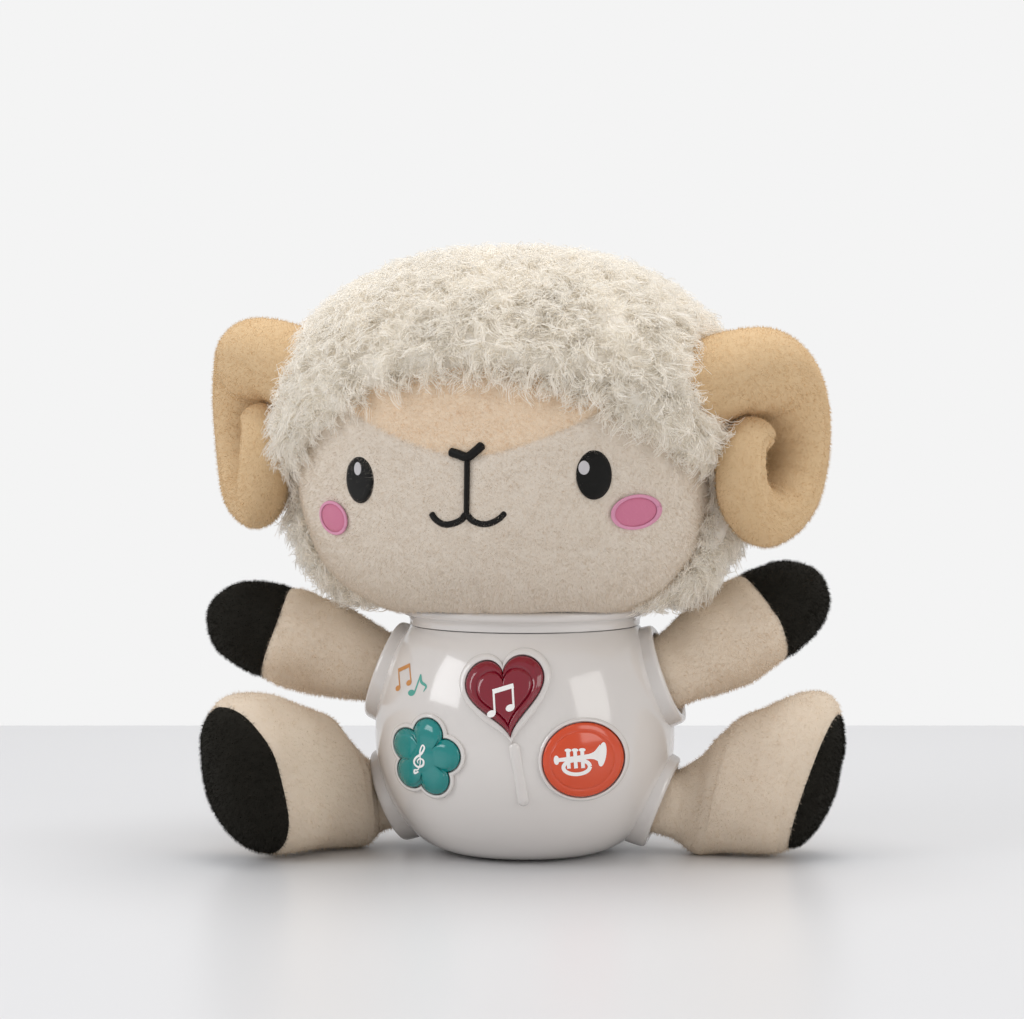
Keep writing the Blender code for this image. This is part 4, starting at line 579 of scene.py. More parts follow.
# PRINTS
# Thin pad-printed ink on the shell and buttons: notes in orange and teal beside the heart, and white signs
# on the three buttons. Each is a film 0.05 mm over its surface.

def ink(name, code):
    return new_material(name, linear(code), 0.35)[0]


def ribbon(line, widths, steps=8):
    """Quads of a flat line through points, its width changing along it."""
    rows = smooth_curve([(x, z, w) for (x, z), w in zip(line, widths)], steps) if len(line) > 2 else np.array(
        [[line[0][0] + (line[1][0] - line[0][0]) * t, line[0][1] + (line[1][1] - line[0][1]) * t,
          widths[0] + (widths[1] - widths[0]) * t] for t in np.linspace(0, 1, steps)])
    points, faces = [], []
    for i, (x, z, w) in enumerate(rows):
        dx, dz = rows[min(i + 1, len(rows) - 1), :2] - rows[max(i - 1, 0), :2]
        size = math.hypot(dx, dz) or 1
        points += [(x - dz / size * w / 2, z + dx / size * w / 2),
                   (x + dz / size * w / 2, z - dx / size * w / 2)]
        if i:
            faces.append([2 * i - 2, 2 * i - 1, 2 * i + 1, 2 * i])
    return points, faces


def blob(middle, wide, tall, tilt=0.0, count=28):
    """Triangles of a filled oval, tilted by an angle in degrees."""
    tilt = math.radians(tilt)
    points = [middle]
    for i in range(count):
        x, z = wide * math.cos(TURN * i / count), tall * math.sin(TURN * i / count)
        points.append((middle[0] + x * math.cos(tilt) - z * math.sin(tilt),
                       middle[1] + x * math.sin(tilt) + z * math.cos(tilt)))
    return points, [[0, 1 + i, 1 + (i + 1) % count] for i in range(count)]


def printed(name, shapes, material, surface, body, slot):
    """Shapes laid on a surface function of (x, z), each a hair above the last."""
    points, faces = [], []
    for layer, (flat, sides) in enumerate(shapes):
        start = len(points)
        points += [surface(x, z, 0.00005 + 0.000004 * layer) for x, z in flat]
        faces += [[start + i for i in side] for side in sides]
    item = mesh_object(name, points, faces, material)
    return dressed(item, body, slot)


def beamed_note(x, z, size, lean=0.0):
    """Two joined quavers whose left head is at a place."""
    def at(u, v):
        return (x + size * (u * math.cos(lean) - v * math.sin(lean)),
                z + size * (u * math.sin(lean) + v * math.cos(lean)))
    tilt = 20 + math.degrees(lean)
    return [blob(at(0, 0), 0.17 * size, 0.125 * size, tilt),
            blob(at(0.72, 0.16), 0.17 * size, 0.125 * size, tilt),
            ribbon([at(0.135, 0.02), at(0.135, 0.86)], [0.075 * size] * 2),
            ribbon([at(0.855, 0.18), at(0.855, 1.02)], [0.075 * size] * 2),
            ribbon([at(0.10, 0.80), at(0.89, 0.96)], [0.17 * size] * 2)]


def single_note(x, z, size):
    """A quaver with a curled flag."""
    return [blob((x, z), 0.18 * size, 0.13 * size, 15),
            ribbon([(x + 0.15 * size, z), (x + 0.42 * size, z + 0.80 * size)], [0.07 * size] * 2),
            ribbon([(x + 0.42 * size, z + 0.80 * size), (x + 0.47 * size, z + 0.50 * size),
                    (x + 0.72 * size, z + 0.34 * size), (x + 0.60 * size, z + 0.10 * size)],
                   [0.05 * size, 0.13 * size, 0.10 * size, 0.02 * size])]


def treble_clef(x, z, size):
    """A treble clef drawn with one stroke and an end dot."""
    line = [(0.02, -0.40), (-0.10, -0.46), (-0.12, -0.36), (0.0, -0.33), (0.05, -0.10), (-0.02, 0.25),
            (0.03, 0.44), (0.11, 0.36), (0.04, 0.18), (-0.14, 0.02), (-0.17, -0.14), (-0.02, -0.25),
            (0.15, -0.18), (0.15, -0.03), (0.02, 0.02), (-0.06, -0.06), (-0.02, -0.14)]
    widths = [0.05, 0.07, 0.05, 0.04, 0.04, 0.05, 0.05, 0.06, 0.07, 0.07, 0.07, 0.07, 0.07, 0.06, 0.05, 0.04,
              0.03]
    placed = [(x + size * (u + 0.18 * v), z + size * v) for u, v in line]
    return [ribbon(placed, [w * size for w in widths], 6)]


def on_button(key, relief):
    outline, place, _border = BEZELS[key]
    reach = max(math.hypot(*p) for p in outline(-0.0009))

    def surface(x, z, lift):
        u, v = x - place[0], z - place[1]
        share = min(math.hypot(u, v) / reach, 1)
        return on_bowl(x, z, 0.0019 + relief(u, v, share) + lift + 0.00003)
    return surface


white_ink = ink("white ink", "F4F2F0")
printed("print_orange_notes", beamed_note(-0.0400, 0.0610, 0.0073, 0.25), ink("orange ink", "C98A4B"),
        on_bowl, "sound_box", "shell_plastic")
printed("print_teal_note", single_note(-0.0338, 0.0602, 0.0082), ink("teal ink", "4FA394"),
        on_bowl, "sound_box", "shell_plastic")
printed("print_heart_notes", beamed_note(-0.0026, 0.0553, 0.0092, 0.10), white_ink,
        on_button("heart", heart_relief), "heart_key", "heart_plastic")
printed("print_flower_clef", treble_clef(-0.0290, 0.0383, 0.0112), white_ink,
        on_button("flower", flower_relief), "flower_key", "flower_plastic")
centre_x, centre_z = ROUND_PLACE


def on_disc(u, v):
    """Place a sign's point, in millimetres from the disc's centre."""
    return (centre_x + u * MM, centre_z + v * MM)


loop = [on_disc(-1.6 + 4.3 * math.cos(TURN * k / 12), -2.0 + 2.5 * math.sin(TURN * k / 12)) for k in range(13)]
horn_sign = [ribbon([on_disc(-8.0, 0.6), on_disc(2.4, 1.5)], [0.0013, 0.0017]), ribbon(loop, [0.0013] * 13, 4),
             ribbon([on_disc(2.2, 1.5), on_disc(4.2, 1.7), on_disc(6.2, 1.9)], [0.0016, 0.0029, 0.0072], 6),
             blob(on_disc(6.5, 1.9), 0.0013, 0.0042, -6), blob(on_disc(-8.2, 0.6), 0.0009, 0.0016, 4)]
for u in (-4.2, -1.9, 0.4):
    horn_sign.append(ribbon([on_disc(u + 0.1, -2.4), on_disc(u - 0.2, 3.4)], [0.0012, 0.0012]))
    horn_sign.append(blob(on_disc(u - 0.2, 3.9), 0.0011, 0.0006, -4))
printed("print_round_sign", horn_sign, white_ink,
        on_button("round", round_relief), "round_key", "round_plastic")


# The head's form: a wide egg, turned a little to the left, and the lines that divide its cloth

HEAD = Vector((-0.0031, -0.0083, 0.147))
HEAD_FRAME = Matrix.Rotation(math.radians(-4.5), 4, "Z")
FACE = (0.076, 0.060, 0.063, 0.0638, (2.2, 2.8, 2.3))
FLEECE_FORM = (0.0810, 0.0618, 0.0650, 0.0610, (2.3, 3.0, 2.3))


def egg_point(form, share, turn, grow=0.0):
    """Points of a rounded form: share from -1 below to 1 above, turn round it, grow outside it."""
    wide, deep, up, down, powers = form
    share, turn = np.asarray(share, dtype=float), np.asarray(turn, dtype=float)
    tall = np.where(share > 0, up, down) + grow
    power = np.where(share > 0, powers[0], powers[1])
    level = np.maximum(1 - np.abs(share) ** power, 0) ** (1 / power)
    cos, sin = np.cos(turn), np.sin(turn)
    x = np.sign(cos) * np.abs(cos) ** (2 / powers[2]) * (wide + grow) * level
    y = np.sign(sin) * np.abs(sin) ** (2 / powers[2]) * (deep + grow) * level
    return np.stack(np.broadcast_arrays(x, y, share * tall), axis=-1) + np.array(HEAD)


def to_world(points):
    """From the head's own frame to the row's."""
    turn = np.array(HEAD_FRAME.to_3x3())
    return points @ turn.T


def hairline(x):
    return 0.1715 - 0.024 * np.abs(x / 0.064) ** 2.2


def brow_seam(x):
    return 0.1435 + 0.017 * np.abs(x / 0.047) ** 1.6


def on_face(x, z, grow):
    """A point on the face, x from the head's middle, grow outside the cloth."""
    wide, deep, up, down, powers = FACE
    tall, power = (up, powers[0]) if z > HEAD.z else (down, powers[1])
    level = (1 - min(abs(z - HEAD.z) / (tall + grow), 1) ** power) ** (1 / power)
    plan = level ** powers[2] - abs(x / (wide + grow)) ** powers[2]
    depth = (deep + grow) * max(plan, 0) ** (1 / powers[2])
    return HEAD_FRAME @ Vector((HEAD.x + x, HEAD.y - depth, z))


def grid_object(name, rows, columns, points, keep, material, tint=None):
    """A closed-in-turn grid of points as a mesh, with the faces that keep marks."""
    index = np.arange(rows * columns).reshape(rows, columns)
    after = np.roll(index, -1, axis=1)
    faces = np.stack([index[:-1], after[:-1], after[1:], index[1:]], axis=-1).reshape(-1, 4)
    faces = faces[keep.reshape(-1)]
    used, packed = np.unique(faces, return_inverse=True)
    item = mesh_object(name, points.reshape(-1, 3)[used], packed.reshape(-1, 4).tolist(), material)
    if tint is not None:
        set_tint(item, tint.reshape(-1)[used])
    return item


def bumps(points, size, height, seed):
    """A smooth random height at each point, from a few plane waves of about this size."""
    waves = np.random.default_rng(seed)
    total = np.zeros(points.shape[:-1])
    for _ in range(14):
        way = waves.normal(size=3)
        way *= TURN / (size * waves.uniform(0.7, 1.6)) / np.linalg.norm(way)
        total += np.sin(points @ way + waves.uniform(0, TURN))
    return height * total / 14 ** 0.5


# Fibres: short naps and long wool are real strands, so that edges are soft against the background

def surface_samples(item, count, seed):
    """Random points on an object's mesh with their normals."""
    mesh = item.data
    mesh.calc_loop_triangles()
    points = np.empty(len(mesh.vertices) * 3)
    mesh.vertices.foreach_get("co", points)
    normals = np.empty(len(mesh.vertices) * 3)
    mesh.vertices.foreach_get("normal", normals)
    corners = np.empty(len(mesh.loop_triangles) * 3, dtype=np.int32)
    mesh.loop_triangles.foreach_get("vertices", corners)
    points, normals, corners = points.reshape(-1, 3), normals.reshape(-1, 3), corners.reshape(-1, 3)
    a, b, c = (points[corners[:, k]] for k in range(3))
    area = np.linalg.norm(np.cross(b - a, c - a), axis=1)
    pick = np.random.default_rng(seed)
    chosen = pick.choice(len(corners), size=count, p=area / area.sum())
    u, v = pick.random(count), pick.random(count)
    flip = u + v > 1
    u[flip], v[flip] = 1 - u[flip], 1 - v[flip]
    weights = np.stack([1 - u - v, u, v], axis=1)[:, :, None]
    place = (points[corners[chosen]] * weights).sum(axis=1)
    normal = (normals[corners[chosen]] * weights).sum(axis=1)
    return place, normal / np.linalg.norm(normal, axis=1, keepdims=True)


def set_tint(item, values):
    """Store one tint from 0 to 1 on each vertex."""
    layer = item.data.attributes.new("tint", "FLOAT", "POINT")
    layer.data.foreach_set("value", np.ascontiguousarray(values, dtype=np.float32))


def strands(name, lines, width, material, taper=0.25, tint=None):
    """Flat tapering strands along lines, an array of strand x point x 3, as one mesh."""
    count, steps, _ = lines.shape
    pick = np.random.default_rng(len(name))
    ahead = np.gradient(lines, axis=1)
    ahead /= np.linalg.norm(ahead, axis=2, keepdims=True) + 1e-12
    side = np.cross(ahead, pick.normal(size=(count, 1, 3)))
    side /= np.linalg.norm(side, axis=2, keepdims=True) + 1e-12
    share = np.linspace(0, 1, steps)[None, :, None]
    half = width / 2 * (1 - (1 - taper) * share)
    left, right = lines - side * half, lines + side * half
    points = np.stack([left, right], axis=2).reshape(-1, 3)
    base = (np.arange(count) * steps * 2)[:, None] + np.arange(steps - 1)[None, :] * 2
    faces = np.stack([base, base + 1, base + 3, base + 2], axis=-1).reshape(-1, 4)
    mesh = bpy.data.meshes.new(name)
    mesh.vertices.add(len(points))
    mesh.vertices.foreach_set("co", points.reshape(-1))
    mesh.loops.add(faces.size)
    mesh.loops.foreach_set("vertex_index", faces.reshape(-1).astype(np.int32))
    mesh.polygons.add(len(faces))
    mesh.polygons.foreach_set("loop_start", np.arange(0, faces.size, 4, dtype=np.int32))
    mesh.update(calc_edges=True)
    mesh.materials.append(material)
    item = bpy.data.objects.new(name, mesh)
    bpy.context.scene.collection.objects.link(item)
    if tint is not None:
        set_tint(item, np.repeat(tint, steps * 2))
    return item


def nap(name, cloth, count, length, width, material, seed, lean=(0, 0, -0.5), tint=None):
    """A short pile on a piece of cloth: straight strands that lean with the nap."""
    place, normal = surface_samples(cloth, count, seed)
    pick = np.random.default_rng(seed + 1)
    way = normal + 0.35 * pick.normal(size=place.shape) + np.array(lean)
    way -= normal * np.minimum((way * normal).sum(axis=1, keepdims=True) - 0.4, 0)
    way /= np.linalg.norm(way, axis=1, keepdims=True)
    reach = (length * pick.uniform(0.6, 1.2, size=(len(place), 1)))[:, :, None]
    steps = np.array([0.0, 1.0])[None, :, None]
    lines = place[:, None, :] - 0.0002 * normal[:, None, :] + way[:, None, :] * reach * steps
    return strands(name, lines, width, material, 0.1, None if tint is None else tint(place))


def fibre(name, light, dark, shade=None):
    """Strands that let light through, so both their sides look alike, in shades from dark to light."""
    material, tree, shader = new_material(name, linear(light), 0.85)
    shader.inputs["Specular IOR Level"].default_value = 0.1
    place = add(tree, "ShaderNodeTexCoord", -1100, 0)
    noise = add(tree, "ShaderNodeTexNoise", -900, 0, Scale=260.0, Detail=4.0, Roughness=0.7)
    mix = add(tree, "ShaderNodeMix", -600, 0)
    mix.data_type = "RGBA"
    mix.inputs["A"].default_value = linear(dark)
    mix.inputs["B"].default_value = linear(light)
    through = add(tree, "ShaderNodeBsdfTranslucent", -100, -300)
    both = add(tree, "ShaderNodeMixShader", 200, -100)
    both.inputs["Fac"].default_value = 0.6
    output = tree.nodes["Material Output"]
    tree.links.new(place.outputs["Object"], noise.inputs["Vector"])
    tree.links.new(noise.outputs["Fac"], mix.inputs["Factor"])
    colour = tinted(tree, mix.outputs["Result"], shade) if shade else mix.outputs["Result"]
    tree.links.new(colour, shader.inputs["Base Color"])
    tree.links.new(colour, through.inputs["Color"])
    tree.links.new(shader.outputs["BSDF"], both.inputs[1])
    tree.links.new(through.outputs["BSDF"], both.inputs[2])
    tree.links.new(both.outputs["Shader"], output.inputs["Surface"])
    return material


# FACE
# Cream short-pile plush in two cheeks that meet in a faint seam down the middle, with a tan panel over the
# brow whose seam dips to the nose. It is stuffed tight over the skull.

cream = plush("cream plush", "E6D7C4", "D9C7B1")
face_plush = plush("face plush", "E4DACD", "D8CBBB", shade="EAD6BD")
face_fibre = fibre("face fibre", "E9E0D4", "DCCFBF", shade="EFDDC6")
cream_fibre = fibre("cream fibre", "EEE0CE", "E0CFB9")


def brow_tint(points):
    """How tan the cloth is at points in the toy's frame: from 0 under the brow seam to 1 over it."""
    local = points @ np.array(HEAD_FRAME.to_3x3())
    return np.clip((local[..., 2] - brow_seam(local[..., 0] - HEAD.x)) / 0.0008 + 0.5, 0, 1)


rows, columns = 200, 360
shares = np.sin(np.pi * (np.linspace(0.005, 0.995, rows) - 0.5))[:, None]
turns = (TURN * np.arange(columns) / columns)[None, :]
skin = egg_point(FACE, shares, turns)
x, y, z = skin[..., 0] - HEAD.x, skin[..., 1], skin[..., 2]
away_middle = np.where(z < brow_seam(x), np.abs(x), 1.0)
away_brow = np.abs(z - brow_seam(x)) / np.sqrt(1 + (0.6 * np.abs(x) / 0.047) ** 2)
crease = 0.0005 * np.exp(-(away_middle / 0.0011) ** 2) + 0.0007 * np.exp(-(away_brow / 0.0013) ** 2)
out_of_head = (skin - np.array(HEAD)) / np.linalg.norm(skin - np.array(HEAD), axis=-1, keepdims=True)
skin = skin + out_of_head * (bumps(skin, 0.030, 0.0004, 3) - crease)[..., None]
world = to_world(skin)
off_neck = (np.hypot(world[..., 0], world[..., 1]) > 0.0462) | (z > 0.0885)
seen = (y < -0.012) & (z < hairline(x) + 0.012) & off_neck
over = z >= brow_seam(x)
for name, chosen, node, count in (
        ("face_cloth_left", seen & ~over & (x <= 0), "face_panel_left", 30000),
        ("face_cloth_right", seen & ~over & (x > 0), "face_panel_right", 30000),
        ("forehead_cloth", seen & over, "forehead_panel", 18000)):
    slot = "tan_plush" if node == "forehead_panel" else "cream_plush"
    cloth = grid_object(name, rows, columns, world, chosen[:-1], face_plush, brow_tint(world))
    dressed(cloth, "head", slot, node)
    pile = nap(name + "_nap", cloth, count, 0.0013, 0.00017, face_fibre, 11, tint=brow_tint)
    dressed(pile, "head", slot)


# EMBROIDERY
# Eyes, mouth and cheeks are satin stitch in rayon thread, sewn through the plush, so they stand about
# 0.8 mm proud and shine along their threads.

def satin(name, code, thread_mm=0.38):
    """Satin stitch: threads run across the line or patch, shown by ridges along its length."""
    material, tree, shader = new_material(name, linear(code), 0.42)
    shader.inputs["Sheen Weight"].default_value = 0.04
    shader.inputs["Specular IOR Level"].default_value = 0.2
    place = add(tree, "ShaderNodeUVMap", -900, 0)
    wave = add(tree, "ShaderNodeTexWave", -600, 0, Scale=TURN / (20 * thread_mm), Distortion=1.2, Detail=1.0)
    bump = add(tree, "ShaderNodeBump", -300, -200, Strength=0.7, Distance=0.00015)
    tree.links.new(place.outputs["UV"], wave.inputs["Vector"])
    tree.links.new(wave.outputs["Fac"], bump.inputs["Height"])
    tree.links.new(bump.outputs["Normal"], shader.inputs["Normal"])
    return material


def with_uv(item, values):
    """Give an object a UV map from one pair of millimetres per vertex."""
    layer = item.data.uv_layers.new(name="thread")
    corner = np.empty(len(item.data.loops), dtype=np.int32)
    item.data.loops.foreach_get("vertex_index", corner)
    layer.data.foreach_set("uv", np.array(values)[corner].astype(np.float32).reshape(-1))
    return item


def stitched_patch(name, middle, wide, tall, tilt, height, low, material, inner=0.0):
    """A domed oval of satin stitch, or an oval band when inner is above zero."""
    count, rings = 56, 9
    tilt = math.radians(tilt)
    points, flat, faces = [], [], []
    for row in range(rings + 2):
        share = inner + (1 - inner) * min(row, rings) / rings
        across = (share - inner) / (1 - inner)
        dome = math.sqrt(max(1 - ((2 * across - 1) if inner else across) ** 4, 0))
        lift = low + height * dome if row <= rings else 0.0
        for i in range(count):
            u, v = share * wide * math.cos(TURN * i / count), share * tall * math.sin(TURN * i / count)
            x, z = u * math.cos(tilt) - v * math.sin(tilt), u * math.sin(tilt) + v * math.cos(tilt)
            points.append(on_face(middle[0] + x, middle[1] + z, lift))
            flat.append((1000 * TURN * i / count * wide, 0) if inner else (1000 * v, 1000 * u))
    for row in range(rings + 1):
        for i in range(count):
            a, b = row * count + i, row * count + (i + 1) % count
            faces.append([a, b, b + count, a + count])
    item = mesh_object(name, points, faces, material)
    with_uv(item, flat)
    return item


def stitched_line(name, line, width, height, material, steps=10):
    """A raised satin line through points on the face, with round ends."""
    rows = smooth_curve(line, steps)
    points, flat, faces, length = [], [], [], 0.0
    sides = 9
    for i, (x, z) in enumerate(rows):
        dx, dz = rows[min(i + 1, len(rows) - 1)] - rows[max(i - 1, 0)]
        size = math.hypot(dx, dz)
        length += math.hypot(*(rows[i] - rows[i - 1])) if i else 0
        end = min(i, len(rows) - 1 - i) / 3
        narrow = math.sqrt(1 - (1 - end) ** 2) if end < 1 else 1.0
        for k in range(sides):
            turn = math.pi * k / (sides - 1)
            off = width / 2 * math.cos(turn) * max(narrow, 0.25)
            lift = -0.0002 + (height + 0.0002) * math.sin(turn) * max(narrow, 0.25)
            points.append(on_face(x - dz / size * off, z + dx / size * off, lift))
            flat.append((1000 * length, 1000 * off))
    for i in range(len(rows) - 1):
        for k in range(sides - 1):
            a = i * sides + k
            faces.append([a, a + 1, a + sides + 1, a + sides])
    return with_uv(mesh_object(name, points, faces, material), flat)


black_thread, grey_thread = satin("black thread", "080705"), satin("pale thread", "C9C6C8")
pink_thread, light_pink = satin("pink thread", "D27C98"), satin("light pink thread", "E29CB8")
for side, middle, glint in (("left", (-0.0400, 0.1354), (-0.0405, 0.1389, 0.0016, 0.0025)),
                            ("right", (0.0418, 0.1374), (0.0390, 0.1398, 0.0019, 0.0025))):
    eye = stitched_patch(f"eye_stitch_{side}", middle, 0.0056, 0.0083, 0, 0.0008, 0.0002, black_thread)
    dressed(eye, "head", "black_thread", f"eye_{side}")
    spot = stitched_patch(f"eye_glint_{side}", glint[:2], glint[2], glint[3], 0, 0.0003, 0.0008, grey_thread)
    dressed(spot, "head", "black_thread")
for side, middle, wide, tilt in (("left", (-0.0523, 0.1216), 0.0066, -28),
                                 ("right", (0.0545, 0.1247), 0.0078, 16)):
    fill = stitched_patch(f"cheek_stitch_{side}", middle, wide - 0.0008, 0.0050, tilt, 0.0005, 0.0002,
                          pink_thread)
    dressed(fill, "head", "pink_thread", f"cheek_{side}")
    band = stitched_patch(f"cheek_edge_{side}", middle, wide, 0.0059, tilt, 0.0007, 0.0002,
                          light_pink, inner=0.80)
    dressed(band, "head", "pink_thread")
nose = [(-0.0068, 0.1452), (-0.0036, 0.1443), (-0.0003, 0.1434), (0.0028, 0.1455), (0.0054, 0.1478)]
stem = [(-0.0003, 0.1430), (-0.0004, 0.1370), (-0.0006, 0.1300), (-0.0009, 0.1238)]
smile = [(-0.0134, 0.1245), (-0.0120, 0.1223), (-0.0094, 0.1206), (-0.0064, 0.1206), (-0.0030, 0.1219),
         (-0.0010, 0.1238),
         (0.0010, 0.1220), (0.0040, 0.1208), (0.0072, 0.1210), (0.0104, 0.1226), (0.0130, 0.1250)]
mouth = [stitched_line("mouth_stitch", smile, 0.0024, 0.0010, black_thread),
         stitched_line("stem", stem, 0.0020, 0.0009, black_thread),
         stitched_line("nose", nose, 0.0031, 0.0011, black_thread)]
dressed(join(*mouth), "head", "black_thread", "mouth_embroidery")


# HORNS
# Golden-tan plush tubes, stuffed and curled into a spiral. A seam runs round the outside of each curl, and
# the cloth puckers on the inside.

tan_horn = plush("horn plush", "DDC19B", "CDAD82", sheen=0.6)
horn_fibre = fibre("horn fibre", "E3CBA6", "D3B68C")


def horn_frame(side, toe, out_reach, height):
    out = Vector((side * math.cos(toe), -math.sin(toe), 0))
    back = Vector((side * math.sin(toe), math.cos(toe), 0))
    place = Vector((HEAD.x + side * out_reach, HEAD.y - 0.0047, height))
    return HEAD_FRAME @ Matrix.Translation(place) @ Matrix((back, Vector((0, 0, 1)), out)).transposed().to_4x4()


HORN_TURN, HORN_START, HORN_WINDS_IN = math.radians(320), 0.0278, 0.0213


def horn_centre(share):
    turn = HORN_TURN * share
    radius = HORN_START - HORN_WINDS_IN * max(share, 0) ** 2.5
    dip = 0.007 * (-16 * share) ** 1.2 if share < 0 else 0
    return Vector((radius * math.sin(turn), radius * math.cos(turn), -dip))


def horn_radius(share):
    return 0.0150 - 0.0082 * max(share, 0) ** 0.9


horn_lines = {}
for side, key, toe, out_reach, height in ((-1, "left", 27.5, 0.0938, 0.1492), (1, "right", 18, 0.0907, 0.1448)):
    frame_here, rings, line = horn_frame(side, math.radians(toe), out_reach, height), [], []
    sides, steps = 40, 120
    for step in range(steps + 1):
        share = -2.2 / 16 + (1 + 2.2 / 16) * step / steps
        centre = horn_centre(share)
        ahead = (horn_centre(share + 0.004) - horn_centre(share - 0.004)).normalized()
        out = Vector((0, 0, 1))
        out = (out - ahead * out.dot(ahead)).normalized()
        inward = ahead.cross(out)
        line.append((*(frame_here @ centre), horn_radius(share)))
        ring = []
        for k in range(sides):
            a = TURN * k / sides
            seam = 0.0007 * math.exp(-((a - math.pi / 2) / 0.10) ** 2)
            pucker = 0.00035 * max(math.cos(a), 0) * math.sin(share * 95 + 2 * math.sin(share * 23))
            soft = 0.0004 * math.sin(3 * a + 9 * share) * math.sin(14 * share)
            radius = horn_radius(share) - seam + pucker + soft
            ring.append(centre + radius * (math.cos(a) * inward + math.sin(a) * out))
        rings.append(ring)
    tip_ring, tip, reach = rings[-1], sum(rings[-1], Vector()) / sides, horn_radius(1)
    for turn in (20, 38, 54, 68, 80):
        turn = math.radians(turn)
        rings.append([tip + math.cos(turn) * (p - tip) + math.sin(turn) * reach * ahead for p in tip_ring])
    rings.append([tip + reach * ahead])
    horn_lines[key] = np.array(line)
    horn = loft(f"horn_cloth_{key}", [[frame_here @ p for p in ring] for ring in rings], tan_horn)
    dressed(horn, "head", "horn_plush", f"horn_{key}")
    dressed(nap(f"horn_nap_{key}", horn, 24000, 0.0013, 0.00018, horn_fibre, 31), "head", "horn_plush")


# WOOL
# Long curly fleece, sewn round the face and over the crown: a backing cloth with locks of fine strands that
# gather towards their tips, lean every way, and hang a little.

wool_cloth = plush("wool backing", "FBF7F0", "F4EEE3", pile_mm=1.5, bump_mm=1.0)
wool_fibre = fibre("wool fibre", "FFFDF8", "FBF6EE")


def from_face(points):
    """Distance from the face's opening, for points in the head's own frame; below zero inside it."""
    return np.maximum(points[..., 2] - hairline(points[..., 0] - HEAD.x), points[..., 1] + 0.021)


def wool_surface(share, turn, grow=0.0):
    """The fleece's backing in the head's own frame: round the face's opening it dips under the face cloth."""
    outer = egg_point(FLEECE_FORM, share, turn, grow)
    under = egg_point(FACE, share, turn, -0.0006)
    rise = np.clip((from_face(outer) - 0.001) / 0.008, 0, 1)[..., None]
    return under + (outer - under) * rise ** 2 * (3 - 2 * rise)


def is_wool(points, margin):
    """Where the fleece is, outside the face's opening by a margin and clear of the neck."""
    neck = (np.hypot(points[..., 0] + 0.003, points[..., 1]) < 0.049) & (points[..., 2] < 0.096)
    return (from_face(points) > margin) & ~neck


rows, columns = 150, 260
shares = np.sin(np.pi * (np.linspace(0.02, 0.998, rows) - 0.5))[:, None]
turns = (TURN * np.arange(columns) / columns)[None, :]
backing = wool_surface(shares, turns, 0.0008)
backing += (backing - np.array(HEAD)) * bumps(backing, 0.012, 0.008, 5)[..., None] * np.clip(
    from_face(backing) / 0.01, 0, 1)[..., None]
woolly = is_wool(backing, -0.003)[:-1]
wool_base = grid_object("wool_backing", rows, columns, to_world(backing), woolly, wool_cloth)
dressed(wool_base, "head", "wool_pile", "fleece_hood")


def wool_roots(count, seed):
    """Evenly spread random roots on the backing with their normals, in the head's own frame."""
    pick = np.random.default_rng(seed)
    tries = 6 * count
    share, turn = pick.uniform(-0.99, 1, size=tries), pick.uniform(0, TURN, size=tries)
    points = wool_surface(share, turn)
    step = 1e-4
    across = wool_surface(share, turn + step) - points
    upward = wool_surface(np.clip(share + step, -1, 1), turn) - wool_surface(share - step, turn)
    normal = np.cross(across, upward)
    size = np.linalg.norm(normal, axis=1)
    good = (pick.random(tries) * np.quantile(size, 0.98) < size) & (size > 0) & is_wool(points, -0.0010)
    return points[good][:count], (normal / np.maximum(size, 1e-20)[:, None])[good][:count]


